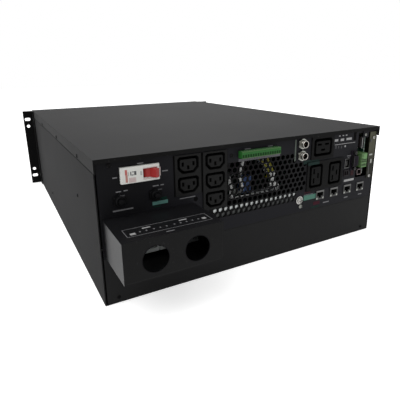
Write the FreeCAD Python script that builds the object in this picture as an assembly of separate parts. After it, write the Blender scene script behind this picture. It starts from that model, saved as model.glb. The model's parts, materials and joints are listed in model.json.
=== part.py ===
import FreeCAD, Part
import math
import os

# A rack-mounted uninterruptible power supply, four rack units high.
# Millimetres. The origin is the centre of the chassis base's underside.
# +X is to the right as seen from behind, +Y runs from the rear panel to the front bezel, +Z is up.

V = FreeCAD.Vector
Y_AXIS = V(0, 1, 0)
Z_AXIS = V(0, 0, 1)

# Flats on small round forms
NECK_SIDES = 12
BORE_SIDES = 12
DRUM_SIDES = 20

# Chassis sheet metal
CHASSIS_WIDTH = 440.0
CHASSIS_HEIGHT = 172.0
CHASSIS_DEPTH = 590.0
SHEET = 1.2
SHEET_GAP = 0.2
LID_FLANGE = 14.5
LID_OVERHANG = 3.5
LID_LIP = 5.0
SEAM_GROOVE = 0.4
LEFT = -CHASSIS_WIDTH / 2
RIGHT = CHASSIS_WIDTH / 2
REAR = -CHASSIS_DEPTH / 2
FRONT = CHASSIS_DEPTH / 2
REAR_INNER = REAR + SHEET
FRONT_INNER = FRONT - SHEET
LID_UNDERSIDE = CHASSIS_HEIGHT - SHEET

# Rear panels; heights over the split are measured from it, on this deck and on its fittings
PANEL_EDGE_GAP = 0.3
POWER_DECK_HEIGHT = 114.0
PANEL_SPLIT_HEIGHT = CHASSIS_HEIGHT - POWER_DECK_HEIGHT
PANEL_SPLIT_GAP = 0.4
PANEL_TOP_GAP = 0.8
PANEL_FLANGE = 12.0
PANEL_FLANGE_NOTCH = 14.0
CUTOUT_GAP = 0.3

# Shelf between the power deck and the battery deck
SHELF_RISE = 11.0
SHELF_SIDE_FLANGE = 12.0
SHELF_REAR_GAP = 0.6
SHELF_SIDE_GAP = 0.3
SHELF_FRONT_GAP = 30.0
SHELF_UPTURN_TOP = 32.8
SHELF_UNDERSIDE = PANEL_SPLIT_HEIGHT + SHELF_RISE
SHELF_TOP = SHELF_UNDERSIDE + SHEET

# Rack ears, with holes on the standard 19-inch pattern
EAR_WIDTH_OVERALL = 482.6
EAR_THICKNESS = 2.0
EAR_FLANGE = 24.0
EAR_END_GAP = 0.5
RACK_HOLE_SPACING = 465.1
RACK_SLOT_RISE = 66.675
RACK_ROUND_RISE = 50.8
RACK_SLOT_LENGTH = 12.0
RACK_HOLE_RADIUS = 3.5

# Honeycomb vent
HEX_PITCH = 8.13
HEX_ACROSS_FLATS = 6.0
HEX_ROW_PITCH = HEX_PITCH * math.sqrt(3) / 2
HEX_FIRST_ROW_HEIGHT = 22.6
HEX_ROWS = 10
HEX_LOW_ROWS = 2
HEX_MARGIN = 1.0
HEX_LOW_LEFT_REACH = 22.0
HEX_LOW_RIGHT_CLEARANCE = 7.5
HEX_BORDER = 0.5

# Circuit breaker, its body lying on its side
BREAKER_FROM_LEFT = 50.2
BREAKER_HEIGHT = 92.8
BREAKER_NOSE_LENGTH = 45.0
BREAKER_NOSE_WIDTH = 18.0
BREAKER_NOSE_PROUD = 3.5
BREAKER_BODY_LENGTH = 78.0
BREAKER_BODY_DEPTH = 46.0
BREAKER_EDGE_STEP = 1.5
TOGGLE_OFFSET = 10.8
TOGGLE_DRUM_RADIUS = 7.8
TOGGLE_PIVOT_DEPTH = 5.0
TOGGLE_REACH = 16.0
TOGGLE_WIDTH = 10.0
TOGGLE_ROOT = 7.0
TOGGLE_TIP = 4.4
TOGGLE_BACK = 3.0
TOGGLE_REST_ANGLE = 24.0
TOGGLE_GAP = 0.3

# Push-to-reset thermal breakers
RESET_FROM_LEFT = (25.7, 66.8)
RESET_HEIGHT = 65.6
RESET_BODY = (15.0, 30.0, 32.0)
RESET_NECK_RADIUS = 5.6
RESET_NECK_PROUD = 6.5
RESET_NUT_CORNERS = 16.6
RESET_NUT_HEIGHT = 3.0
RESET_KEY_CORNERS = 12.6
RESET_BUTTON_RADIUS = 3.4
RESET_BUTTON_PROUD = 4.0
RESET_BUTTON_DEPTH = 6.0
RESET_TRAVEL = 3.0
RUNNING_GAP = 0.3

# Terminal cover box, with its holes and blocks placed from its underside
COVER_BOX_FROM_LEFT = 5.0
COVER_BOX_WIDTH = 111.0
COVER_BOX_BOTTOM = 2.5
COVER_BOX_HEIGHT = 44.0
COVER_BOX_DEPTH = 68.5
CABLE_HOLE_RADIUS = 14.4
CABLE_HOLE_SIDES = 28
CABLE_HOLE_FROM_BOX_LEFT = (33.5, 79.8)
CABLE_HOLE_HEIGHT = 20.5
BLOCK_DEPTH = 24.0
BLOCK_BOTTOM = 5.5
BLOCK_HEIGHT = 33.0
BLOCK_FROM_BOX_LEFT = 6.5
BLOCK_SPACING = 1.0
POLE_PITCH = 16.0
POLES_PER_BLOCK = 3
POLE_MOUTH = (11.0, 12.0, 14.0)
POLE_MOUTH_RISE = 4.0
POLE_WELL = (7.4, 7.4, 8.0)
POLE_WELL_RISE = 21.8
CLAMP_GAP = 0.2

# Outlet strips for cord connectors
OUTLET_STRIP_WIDTH = 34.0
OUTLET_STRIP_GAP = 2.6
OUTLET_STRIP_FROM_LEFT = 91.8
OUTLET_TOP_HEIGHT = 94.7
OUTLET_PITCH = 24.1
OUTLET_END_MARGIN = 12.5
OUTLET_FLANGE_PROUD = 1.5
OUTLET_FLANGE_LAP = 2.0
OUTLET_BODY_DEPTH = 24.0
OUTLET_GROOVE = (27.6, 20.4)
OUTLET_GROOVE_WIDTH = 3.4
OUTLET_GROOVE_DEPTH = 14.0
OUTLET_LOW_CHAMFER = 6.2
OUTLET_TOP_CHAMFER = 2.4
CONTACT_SPREAD = 7.0
CONTACT_SLOT = (3.0, 5.0)
CONTACT_RISE = 1.2
EARTH_CONTACT_DROP = 2.8
CONTACT_SLOT_DEPTH = 15.0

# Larger outlets for heavy cord connectors
LARGE_GROOVE = (34.6, 25.4)
LARGE_GROOVE_WIDTH = 4.0
LARGE_CHAMFER = 2.6
LARGE_CONTACT_SLOT = (7.6, 2.8)
LARGE_CONTACT_SPREAD = 7.0
LARGE_CONTACT_RISE = 4.0
LARGE_FRAME_MARGIN = 4.2
LARGE_SINGLE_FROM_RIGHT = 116.3
LARGE_SINGLE_HEIGHT = 93.0
LARGE_PAIR_FROM_RIGHT = 107.8
LARGE_PAIR_HEIGHT = 51.6
LARGE_PAIR_PITCH = 37.4
LARGE_GROUND_TURN = 90.0

# Signal terminal block above the vent
SIGNAL_POLES = 16
SIGNAL_PITCH = 3.81
SIGNAL_FROM_STRIP = 17.5
SIGNAL_HEIGHT = 98.7
SIGNAL_BODY_HEIGHT = 8.8
SIGNAL_HEADER_DEPTH = 14.0
SIGNAL_PLUG_LENGTH = 8.0
SIGNAL_WIRE_HOLE = (2.2, 2.4, 4.5)
SIGNAL_WIRE_HOLE_DROP = 1.4

# Two round signal sockets beside the large outlets
ROUND_SOCKET_FROM_RIGHT = 155.5
ROUND_SOCKET_HEIGHTS = (84.9, 101.6)
ROUND_NUT_ACROSS_CORNERS = 16.0
ROUND_NUT_HEIGHT = 2.6
ROUND_BARREL_RADIUS = 5.2
ROUND_BARREL_PROUD = 8.0
ROUND_BORE_RADIUS = 3.4
ROUND_BORE_DEPTH = 4.0
ROUND_KEY_CORNERS = 10.4
ROUND_SHANK_LENGTH = 8.0

# Place of the ground screw, which the vent's low rows stop short of
GROUND_FROM_RIGHT = 156.2

# Network jacks and the board they stand on
JACK_COUNT = 4
JACK_PITCH = 28.6
JACK_LAST_FROM_RIGHT = 29.0
JACK_HEIGHT = 20.8
JACK_SIZE = (16.4, 14.0, 15.0)
JACK_PROUD = 0.8
JACK_WALL = 0.5
JACK_PORT = (11.8, 7.0)
JACK_PORT_RISE = 1.6
JACK_LATCH = (5.0, 2.8)
JACK_PORT_DEPTH = 11.5
JACK_PLATE_LEFT_MARGIN = 4.5
JACK_PLATE_RIGHT_INSET = 8.0
JACK_PLATE_TOP_MARGIN = 2.0
BOARD_THICKNESS = 1.6
BOARD_LOW_MARGIN = 0.8

# Column of service sockets
SERVICE_FROM_RIGHT = 62.8
USB_HEIGHT = 62.0
USB_SIZE = (10.4, 14.6, 14.2)
USB_WALL = 1.0
USB_PROUD = 0.8
USB_TONGUE = (3.0, 7.6, 8.0)
SERIAL_FROM_RIGHT = 49.6
SERIAL_HEIGHT = 65.0
SERIAL_FLANGE = (11.4, 30.8, 1.0)
SERIAL_SHELL = (8.4, 17.0, 6.0)
SERIAL_TAPER = 1.4
SERIAL_BODY = (9.4, 19.0)
STOP_SOCKET_HEIGHT = 46.8
STOP_SOCKET_SIZE = (10.6, 9.8, 14.6)
STOP_SOCKET_PROUD = 1.0
STOP_PORT = (3.2, 6.2, 7.0)
STOP_PORT_SPREAD = 4.6
SWITCH_HEIGHT = 45.4
SWITCH_SIZE = (6.0, 8.0, 14.0)
SWITCH_PROUD = 0.4

# Option slot with its card, whose pieces are placed from the slot's bottom
SLOT_FROM_RIGHT = 13.8
SLOT_WIDTH = 28.4
SLOT_BOTTOM = 36.5
SLOT_HEIGHT = 69.5
CARD_BRACKET_WIDTH = 13.6
CARD_BRACKET_LAP = 10.0
CARD_BRACKET_END_LAP = 4.0
CARD_BRACKET_SHEET = 1.0
CARD_BRACKET_RETURN = 14.0
CARD_LENGTH = 110.0
CARD_BOARD_HEIGHT = 60.0
CARD_BOARD_GAP = 0.3
CARD_TERMINAL_POLES = 4
CARD_TERMINAL_PITCH = 5.08
CARD_TERMINAL_BOTTOM = 18.3
CARD_TERMINAL_SIZE = (12.0, 8.0, 12.0)
CARD_TERMINAL_RIB = 0.7
CARD_HEADER_BOTTOMS = (3.5, 47.0)
CARD_HEADER_SIZES = ((10.0, 10.0), (8.0, 16.4))
CARD_HEADER_DEPTH = 12.0
CARD_HEADER_WALL = 1.3
CARD_HEADER_WELL = 8.0
CARD_RELAY = (13.0, 9.6, 14.0)
CARD_RELAY_BOTTOM = 4.5

# Power deck
POWER_BOARD_RISE = 6.0
POWER_BOARD_LEFT_INSET = 24.0
POWER_BOARD_RIGHT_INSET = 60.0
POWER_BOARD_REAR_INSET = 66.0
POWER_BOARD_FRONT_INSET = 92.0
RAIL_WIDTH = 8.0
RAIL_INSET = 14.0
HEATSINK_WIDTH = 62.0
HEATSINK_HEIGHT = 64.0
HEATSINK_LENGTH = 250.0
HEATSINK_FINS = 5
HEATSINK_FIN = 2.0
HEATSINK_BASE = 6.0
HEATSINK_SPREAD = 150.0
HEATSINK_REAR_OFFSET = 90.0
INDUCTOR_SIZE = (52.0, 46.0, 44.0)
INDUCTOR_COIL_LAP = 5.0
INDUCTOR_PITCH = 70.0
INDUCTOR_REAR_OFFSET = 150.0
CAPACITOR_RADIUS = 16.0
CAPACITOR_HEIGHT = 50.0
CAPACITOR_SIDES = 12
CAPACITOR_PITCH = 70.0
CAPACITOR_COUNT = 3
CAPACITOR_SIDE_INSET = 34.0
CAPACITOR_REAR_OFFSET = 60.0
FILM_CAPACITOR = (17.0, 11.0, 26.0)
FILM_CAPACITOR_X = 20.0
CONTROL_BOARD_HEIGHT = 72.0
CONTROL_BOARD_LENGTH = 170.0
CONTROL_BOARD_X = 128.0
CONTROL_BOARD_REAR_OFFSET = 30.0

# Fans
FAN_COUNT = 2
FAN_SIZE = 92.0
FAN_DEPTH = 25.0
FAN_BORE_RADIUS = 44.0
FAN_BORE_SIDES = 16
FAN_HUB_RADIUS = 18.0
FAN_HUB_SIDES = 15
FAN_HUB_LENGTH = 18.0
FAN_BLADES = 5
FAN_BLADE_REACH = 41.6
FAN_BLADE_THICKNESS = 1.6
FAN_BLADE_CHORD = 20.0
FAN_BLADE_ANGLE = 40.0
FAN_SPIDER = 3.0
FAN_STRUT = 8.0
FAN_PITCH = 190.0

# Batteries
BATTERY_WIDTH = 94.0
BATTERY_LENGTH = 151.0
BATTERY_HEADROOM = 3.6
BATTERY_COLUMNS = 4
BATTERY_ROWS = 3
BATTERY_GAP = 1.0
TRAY_WALL_DROP = 24.2
TRAY_CENTRE_GAP = 6.0
TRAY_REAR_INSET = 60.0

# Front panel and bezel; the display and keys are placed from the bezel's middle
SUBPANEL_EDGE_GAP = 0.3
SUBPANEL_SLOTS = 3
SUBPANEL_SLOT = (64.0, 14.0)
SUBPANEL_SLOT_PITCH = 22.0
BEZEL_DEPTH = 27.0
BEZEL_WALL = 2.5
BEZEL_SIDE_INSET = 1.0
BEZEL_BOTTOM_GAP = 1.0
BEZEL_EDGE_BEVEL = 2.0
BEZEL_VENT_SLOTS = 6
BEZEL_VENT_SLOT = (5.0, 104.0)
BEZEL_VENT_PITCH = 15.0
BEZEL_VENT_OFFSET = 146.0
DISPLAY_SIZE = (96.0, 52.0)
DISPLAY_HEIGHT = 18.0
DISPLAY_THICKNESS = 4.0
DISPLAY_PROUD = 0.5
DISPLAY_LIP = 3.0
KEY_HEIGHT = -26.0
POWER_KEY_X = 34.0
POWER_KEY_SIZE = (20.0, 10.0)
MENU_KEYS = (-36.0, -12.0)
MENU_KEY_SIZE = (14.0, 7.0)
KEY_PROUD = 1.4
KEY_COLLAR = 1.2
KEY_COLLAR_THICKNESS = 1.5
KEY_STEM = 4.0


def block(x0, x1, y0, y1, z0, z1):
    """A box between two corners."""
    return Part.makeBox(x1 - x0, y1 - y0, z1 - z0, V(x0, y0, z0))


def centred_block(x, z, width, height, y0, y1):
    """A box centred on x and z that runs from y0 to y1."""
    return block(x - width / 2, x + width / 2, y0, y1, z - height / 2, z + height / 2)


def facet_rod(x, z, radius, y0, y1, sides):
    """A small round form along Y, drawn with so many flats."""
    return prism_y(regular_polygon(x, z, radius, sides), y0, y1)


def round_slot(x, z, radius, half_length, y0, y1):
    """A slot along X with round ends, or a round hole where its half length is nothing."""
    left, right = [Part.makeCylinder(radius, y1 - y0, V(x + dx, y0, z), Y_AXIS)
                   for dx in (-half_length, half_length)]
    if half_length == 0:
        return left
    return fused(left, right, block(x - half_length, x + half_length, y0, y1, z - radius, z + radius))


def prism_y(points, y0, y1):
    """A polygon of (x, z) points carried along Y from y0 to y1."""
    corners = [V(x, y0, z) for x, z in points]
    face = Part.Face(Part.makePolygon(corners + corners[:1]))
    return face.extrude(V(0, y1 - y0, 0))


def prism_z(points, z0, z1):
    """A polygon of (x, y) points carried up Z from z0 to z1."""
    corners = [V(x, y, z0) for x, y in points]
    face = Part.Face(Part.makePolygon(corners + corners[:1]))
    return face.extrude(V(0, 0, z1 - z0))


def regular_polygon(x, z, corner_radius, sides, start_angle=0.0):
    """The corners of a regular polygon in the XZ plane."""
    step = 2 * math.pi / sides
    turns = [math.radians(start_angle) + i * step for i in range(sides)]
    return [(x + corner_radius * math.cos(t), z + corner_radius * math.sin(t)) for t in turns]


def chamfered_rectangle(x, z, width, height, low, top):
    """A rectangle's corners in the XZ plane, with its low and top corners cut off at 45 degrees."""
    w, h = width / 2, height / 2
    points = [(x - w + low, z - h), (x + w - low, z - h), (x + w, z - h + low), (x + w, z + h - top),
              (x + w - top, z + h), (x - w + top, z + h), (x - w, z + h - top), (x - w, z - h + low)]
    return [p for i, p in enumerate(points) if p != points[i - 1]]


def turned(points, x, z, degrees):
    """Points in the XZ plane turned about (x, z)."""
    c, s = math.cos(math.radians(degrees)), math.sin(math.radians(degrees))
    return [(x + (px - x) * c - (pz - z) * s, z + (px - x) * s + (pz - z) * c) for px, pz in points]


def fused(*shapes):
    """One solid made of shapes that touch or overlap."""
    return shapes[0].multiFuse(list(shapes[1:])).removeSplitter()


def group(shapes):
    """Separate solids that share one node."""
    return Part.makeCompound(shapes)


# Places that several pieces share

HEX_FIRST_ROW_Z = PANEL_SPLIT_HEIGHT + HEX_FIRST_ROW_HEIGHT
BREAKER_Z = PANEL_SPLIT_HEIGHT + BREAKER_HEIGHT
RESET_Z = PANEL_SPLIT_HEIGHT + RESET_HEIGHT
COVER_BOX_Z = PANEL_SPLIT_HEIGHT + COVER_BOX_BOTTOM
CABLE_HOLE_Z = COVER_BOX_Z + CABLE_HOLE_HEIGHT
BLOCK_Z = COVER_BOX_Z + BLOCK_BOTTOM
OUTLET_TOP_Z = PANEL_SPLIT_HEIGHT + OUTLET_TOP_HEIGHT
LARGE_SINGLE_Z = PANEL_SPLIT_HEIGHT + LARGE_SINGLE_HEIGHT
LARGE_PAIR_Z = PANEL_SPLIT_HEIGHT + LARGE_PAIR_HEIGHT
SIGNAL_Z = PANEL_SPLIT_HEIGHT + SIGNAL_HEIGHT
ROUND_SOCKET_Z = [PANEL_SPLIT_HEIGHT + height for height in ROUND_SOCKET_HEIGHTS]
JACK_Z = PANEL_SPLIT_HEIGHT + JACK_HEIGHT
USB_Z = PANEL_SPLIT_HEIGHT + USB_HEIGHT
SERIAL_Z = PANEL_SPLIT_HEIGHT + SERIAL_HEIGHT
STOP_SOCKET_Z = PANEL_SPLIT_HEIGHT + STOP_SOCKET_HEIGHT
SWITCH_Z = PANEL_SPLIT_HEIGHT + SWITCH_HEIGHT
SLOT_BOTTOM_Z = PANEL_SPLIT_HEIGHT + SLOT_BOTTOM
CARD_TERMINAL_Z = SLOT_BOTTOM_Z + CARD_TERMINAL_BOTTOM
CARD_RELAY_Z = SLOT_BOTTOM_Z + CARD_RELAY_BOTTOM
SHELF_UPTURN_Z = PANEL_SPLIT_HEIGHT + SHELF_UPTURN_TOP
CARD_HEADER_Z = [SLOT_BOTTOM_Z + bottom for bottom in CARD_HEADER_BOTTOMS]
BEZEL_MIDDLE = CHASSIS_HEIGHT / 2
DISPLAY_Z = BEZEL_MIDDLE + DISPLAY_HEIGHT
KEY_Z = BEZEL_MIDDLE + KEY_HEIGHT
BATTERY_TOP = SHELF_UNDERSIDE - BATTERY_HEADROOM
TRAY_TOP = BATTERY_TOP - TRAY_WALL_DROP
BREAKER_X = LEFT + BREAKER_FROM_LEFT
RESET_X = [LEFT + offset for offset in RESET_FROM_LEFT]
COVER_BOX_LEFT = LEFT + COVER_BOX_FROM_LEFT
CABLE_HOLE_X = [COVER_BOX_LEFT + offset for offset in CABLE_HOLE_FROM_BOX_LEFT]
STRIP_TWO_X = LEFT + OUTLET_STRIP_FROM_LEFT + OUTLET_STRIP_WIDTH / 2
STRIP_THREE_X = STRIP_TWO_X + OUTLET_STRIP_WIDTH + OUTLET_STRIP_GAP
STRIP_THREE_RIGHT = STRIP_THREE_X + OUTLET_STRIP_WIDTH / 2
STRIP_TOP = OUTLET_TOP_Z + OUTLET_END_MARGIN
LARGE_SINGLE_X = RIGHT - LARGE_SINGLE_FROM_RIGHT
LARGE_PAIR_X = RIGHT - LARGE_PAIR_FROM_RIGHT
LARGE_PAIR_LEFT = LARGE_PAIR_X - LARGE_PAIR_PITCH / 2 - LARGE_GROOVE[1] / 2 - LARGE_FRAME_MARGIN
ROUND_SOCKET_X = RIGHT - ROUND_SOCKET_FROM_RIGHT
GROUND_X = RIGHT - GROUND_FROM_RIGHT
SIGNAL_LEFT = STRIP_THREE_RIGHT + SIGNAL_FROM_STRIP
SIGNAL_WIDTH = SIGNAL_POLES * SIGNAL_PITCH
SIGNAL_X = SIGNAL_LEFT + SIGNAL_WIDTH / 2
JACK_X = [RIGHT - JACK_LAST_FROM_RIGHT - JACK_PITCH * i for i in range(JACK_COUNT)]
SERVICE_X = RIGHT - SERVICE_FROM_RIGHT
SERIAL_X = RIGHT - SERIAL_FROM_RIGHT
SLOT_RIGHT = RIGHT - SLOT_FROM_RIGHT
SLOT_LEFT = SLOT_RIGHT - SLOT_WIDTH
SLOT_TOP = SLOT_BOTTOM_Z + SLOT_HEIGHT
JOGGLE = SHEET + SHEET_GAP
LID_FLANGE_BOTTOM = CHASSIS_HEIGHT - LID_FLANGE
WALL_INNER = RIGHT - SHEET
PANEL_HALF_WIDTH = WALL_INNER - JOGGLE - PANEL_EDGE_GAP
PANEL_TOP = LID_UNDERSIDE - PANEL_TOP_GAP
COMMS_BOARD_FACE = REAR - JACK_PROUD + JACK_SIZE[2]
POWER_BOARD_UNDERSIDE = SHELF_TOP + POWER_BOARD_RISE
POWER_BOARD_TOP = POWER_BOARD_UNDERSIDE + BOARD_THICKNESS
POWER_BOARD_REAR = REAR + POWER_BOARD_REAR_INSET
FAN_X = [FAN_PITCH * (i - (FAN_COUNT - 1) / 2) for i in range(FAN_COUNT)]
FAN_HEIGHT = SHELF_TOP + SHEET_GAP + FAN_SIZE / 2
FAN_REAR = FRONT_INNER - FAN_DEPTH
BEZEL_REAR = FRONT
BEZEL_FRONT = FRONT + BEZEL_DEPTH


# Chassis

def chassis_tray():
    """Base and side walls folded from one sheet, the walls stepped in under the lid's flanges."""
    step_base = LID_FLANGE_BOTTOM - SEAM_GROOVE - JOGGLE
    inner_base = step_base - SHEET / 2
    right = [(RIGHT, 0), (RIGHT, step_base), (RIGHT - JOGGLE, step_base + JOGGLE),
             (RIGHT - JOGGLE, LID_UNDERSIDE), (WALL_INNER - JOGGLE, LID_UNDERSIDE),
             (WALL_INNER - JOGGLE, inner_base + JOGGLE), (WALL_INNER, inner_base), (WALL_INNER, SHEET)]
    outline = right + [(-x, z) for x, z in reversed(right)]
    return prism_y(outline, REAR, FRONT)


def top_cover():
    """Lid with a flange down each side and a lip over the rear edge."""
    rear = REAR - LID_OVERHANG
    half = [(RIGHT, LID_FLANGE_BOTTOM), (RIGHT, CHASSIS_HEIGHT)]
    inner = [(WALL_INNER, LID_UNDERSIDE), (WALL_INNER, LID_FLANGE_BOTTOM)]
    outline = half + [(-x, z) for x, z in reversed(half)] + [(-x, z) for x, z in reversed(inner)] + inner
    shell = prism_y(outline, rear, FRONT)
    lip = block(-WALL_INNER, WALL_INNER, rear, rear + SHEET, CHASSIS_HEIGHT - LID_LIP, LID_UNDERSIDE)
    return fused(shell, lip)


def vent_row_limits(row):
    """Leftmost and rightmost place for a hole's centre in a row of the vent, between the outlets, the round
    sockets and the ground stud."""
    reach = HEX_ACROSS_FLATS / 2 + HEX_MARGIN
    if row < HEX_LOW_ROWS:
        return STRIP_THREE_RIGHT - HEX_LOW_LEFT_REACH, GROUND_X - HEX_LOW_RIGHT_CLEARANCE
    left, right = STRIP_THREE_RIGHT + reach, LARGE_PAIR_LEFT - reach
    z = HEX_FIRST_ROW_Z + row * HEX_ROW_PITCH
    if z + reach > min(ROUND_SOCKET_Z) - ROUND_NUT_ACROSS_CORNERS / 2:
        right = min(right, ROUND_SOCKET_X - ROUND_NUT_ACROSS_CORNERS / 2 - reach)
    return left, right


def vent_bands():
    """Bands of the grille, one for each run of rows with the same reach: its first row, the row after its
    last, and its left and right edge."""
    border = HEX_ACROSS_FLATS / 2 + HEX_BORDER
    bands = []
    for row in range(HEX_ROWS):
        left, right = vent_row_limits(row)
        edges = (left - border, right + border)
        if bands and bands[-1][2:] == edges:
            bands[-1] = (bands[-1][0], row + 1) + edges
        else:
            bands.append((row, row + 1) + edges)
    return bands


def vent_plate(band, y0, y1):
    """The plate of one band of the grille, before its holes are cut."""
    first, after, left, right = band
    base = HEX_FIRST_ROW_Z - HEX_ROW_PITCH / 2
    return block(left, right, y0, y1, base + first * HEX_ROW_PITCH, base + after * HEX_ROW_PITCH)


def hex_row_centres(row):
    """Centres of one row's holes; every other row is shifted by half a pitch."""
    low, high = vent_row_limits(row)
    origin = STRIP_THREE_RIGHT + (HEX_PITCH / 2 if row % 2 == 0 else 0.0)
    first = math.ceil((low - origin) / HEX_PITCH)
    last = math.floor((high - origin) / HEX_PITCH)
    z = HEX_FIRST_ROW_Z + row * HEX_ROW_PITCH
    return [(origin + i * HEX_PITCH, z) for i in range(first, last + 1)]


def vent_grille():
    """Honeycomb grille, flush with the rear panel around it."""
    corner = HEX_ACROSS_FLATS / math.sqrt(3)
    plates = []
    for band in vent_bands():
        holes = [prism_y(regular_polygon(x, z, corner, 6, 30.0), REAR - 1, REAR_INNER + 1)
                 for row in range(band[0], band[1]) for x, z in hex_row_centres(row)]
        plates.append(vent_plate(band, REAR, REAR_INNER).cut(group(holes)))
    return group(plates)


def jack_plate_blank(y0, y1):
    """The panel's lower right corner around the network jacks, before their openings are cut."""
    left = min(JACK_X) - JACK_SIZE[0] / 2 - JACK_PLATE_LEFT_MARGIN
    top = JACK_Z + JACK_SIZE[1] / 2 + JACK_PLATE_TOP_MARGIN
    return block(left, RIGHT - JACK_PLATE_RIGHT_INSET, y0, y1, PANEL_SPLIT_HEIGHT + PANEL_SPLIT_GAP, top)


def jack_plate():
    """Corner of the rear panel that the network jacks come through, flush with the rest."""
    gap = 2 * CUTOUT_GAP
    holes = [centred_block(x, JACK_Z, JACK_SIZE[0] + gap, JACK_SIZE[1] + gap, REAR - 1, REAR_INNER + 1)
             for x in JACK_X]
    return jack_plate_blank(REAR, REAR_INNER).cut(group(holes))


def panel_cutouts():
    """Openings of the upper rear panel, each a clearance larger than the piece that fills it."""
    y0, y1 = REAR - 1, REAR_INNER + 1
    gap = 2 * CUTOUT_GAP
    cuts = [centred_block(BREAKER_X, BREAKER_Z, BREAKER_NOSE_LENGTH + gap,
                          BREAKER_NOSE_WIDTH + gap, y0, y1)]
    cuts += [prism_y(regular_polygon(x, RESET_Z, RESET_KEY_CORNERS / 2 + CUTOUT_GAP, 6), y0, y1)
             for x in RESET_X]
    for x, outlets in ((STRIP_TWO_X, 2), (STRIP_THREE_X, 3)):
        z, height = strip_extent(outlets)
        lap = 2 * OUTLET_FLANGE_LAP - gap
        cuts.append(centred_block(x, z, OUTLET_STRIP_WIDTH - lap, height - lap, y0, y1))
    for x, z, width, height in large_frames():
        lap = 2 * OUTLET_FLANGE_LAP - gap
        cuts.append(centred_block(x, z, width - lap, height - lap, y0, y1))
    cuts.append(centred_block(SIGNAL_X, SIGNAL_Z, SIGNAL_WIDTH + gap,
                              SIGNAL_BODY_HEIGHT + gap, y0, y1))
    cuts += [prism_y(regular_polygon(ROUND_SOCKET_X, z, ROUND_KEY_CORNERS / 2 + CUTOUT_GAP, 6), y0, y1)
             for z in ROUND_SOCKET_Z]
    cuts.append(centred_block(SERVICE_X, USB_Z, USB_SIZE[0] + gap, USB_SIZE[1] + gap, y0, y1))
    cuts.append(centred_block(SERIAL_X, SERIAL_Z, SERIAL_BODY[0] + gap, SERIAL_BODY[1] + gap, y0, y1))
    cuts.append(centred_block(SERVICE_X, STOP_SOCKET_Z, STOP_SOCKET_SIZE[0] + gap,
                              STOP_SOCKET_SIZE[1] + gap, y0, y1))
    cuts.append(centred_block(SERIAL_X, SWITCH_Z, SWITCH_SIZE[0] + gap, SWITCH_SIZE[1] + gap, y0, y1))
    cuts.append(block(SLOT_LEFT, SLOT_RIGHT, y0, y1, SLOT_BOTTOM_Z, SLOT_TOP))
    return cuts


def rear_panel_upper():
    """Punched rear panel around the grille and the jack plate, a flange folded forward along each side."""
    plate = block(-PANEL_HALF_WIDTH, PANEL_HALF_WIDTH, REAR, REAR_INNER,
                  PANEL_SPLIT_HEIGHT + PANEL_SPLIT_GAP, PANEL_TOP)
    flange_low = PANEL_SPLIT_HEIGHT + PANEL_FLANGE_NOTCH
    flanges = [block(x, x + SHEET, REAR_INNER - SHEET / 2, REAR_INNER + PANEL_FLANGE, flange_low, PANEL_TOP)
               for x in (-PANEL_HALF_WIDTH, PANEL_HALF_WIDTH - SHEET)]
    inlets = [vent_plate(band, REAR - 1, REAR_INNER) for band in vent_bands()]
    inlets.append(jack_plate_blank(REAR - 1, REAR_INNER))
    return fused(plate, *flanges).cut(group(panel_cutouts() + inlets))


def rear_panel_lower():
    """Plain panel over the battery deck, folded forward along its sides."""
    low = SHEET + PANEL_EDGE_GAP
    plate = block(-PANEL_HALF_WIDTH, PANEL_HALF_WIDTH, REAR, REAR_INNER, low, PANEL_SPLIT_HEIGHT)
    flanges = [block(x, x + SHEET, REAR_INNER - SHEET / 2, REAR_INNER + PANEL_FLANGE, low, PANEL_SPLIT_HEIGHT)
               for x in (-PANEL_HALF_WIDTH, PANEL_HALF_WIDTH - SHEET)]
    return fused(plate, *flanges)


def mid_shelf():
    """Plated shelf with the board's rails, turned up at its sides and behind the vent's lowest rows."""
    half = WALL_INNER - SHELF_SIDE_GAP
    rear = REAR_INNER + SHELF_REAR_GAP
    front = FRONT - SHELF_FRONT_GAP
    reach = HEX_LOW_LEFT_REACH + HEX_PITCH
    upturn_left, upturn_right = STRIP_THREE_RIGHT - reach, GROUND_X - HEX_LOW_RIGHT_CLEARANCE / 2
    plate = block(-half, half, rear, front, SHELF_UNDERSIDE, SHELF_TOP)
    upturn = block(upturn_left, upturn_right, rear, rear + SHEET, SHELF_UNDERSIDE, SHELF_UPTURN_Z)
    side_rear = REAR_INNER + PANEL_FLANGE + SHEET
    sides = [block(x, x + SHEET, side_rear, front, SHELF_UNDERSIDE, SHELF_TOP + SHELF_SIDE_FLANGE)
             for x in (-half, half - SHEET)]
    rail_front = FRONT - POWER_BOARD_FRONT_INSET - RAIL_INSET
    rail_left = LEFT + POWER_BOARD_LEFT_INSET + RAIL_INSET
    rail_right = RIGHT - POWER_BOARD_RIGHT_INSET - RAIL_INSET
    rails = [block(x - RAIL_WIDTH / 2, x + RAIL_WIDTH / 2, POWER_BOARD_REAR + RAIL_INSET, rail_front,
                   SHELF_TOP - SHEET / 2, POWER_BOARD_UNDERSIDE) for x in (rail_left, rail_right)]
    return fused(plate, upturn, *sides, *rails)


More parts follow.
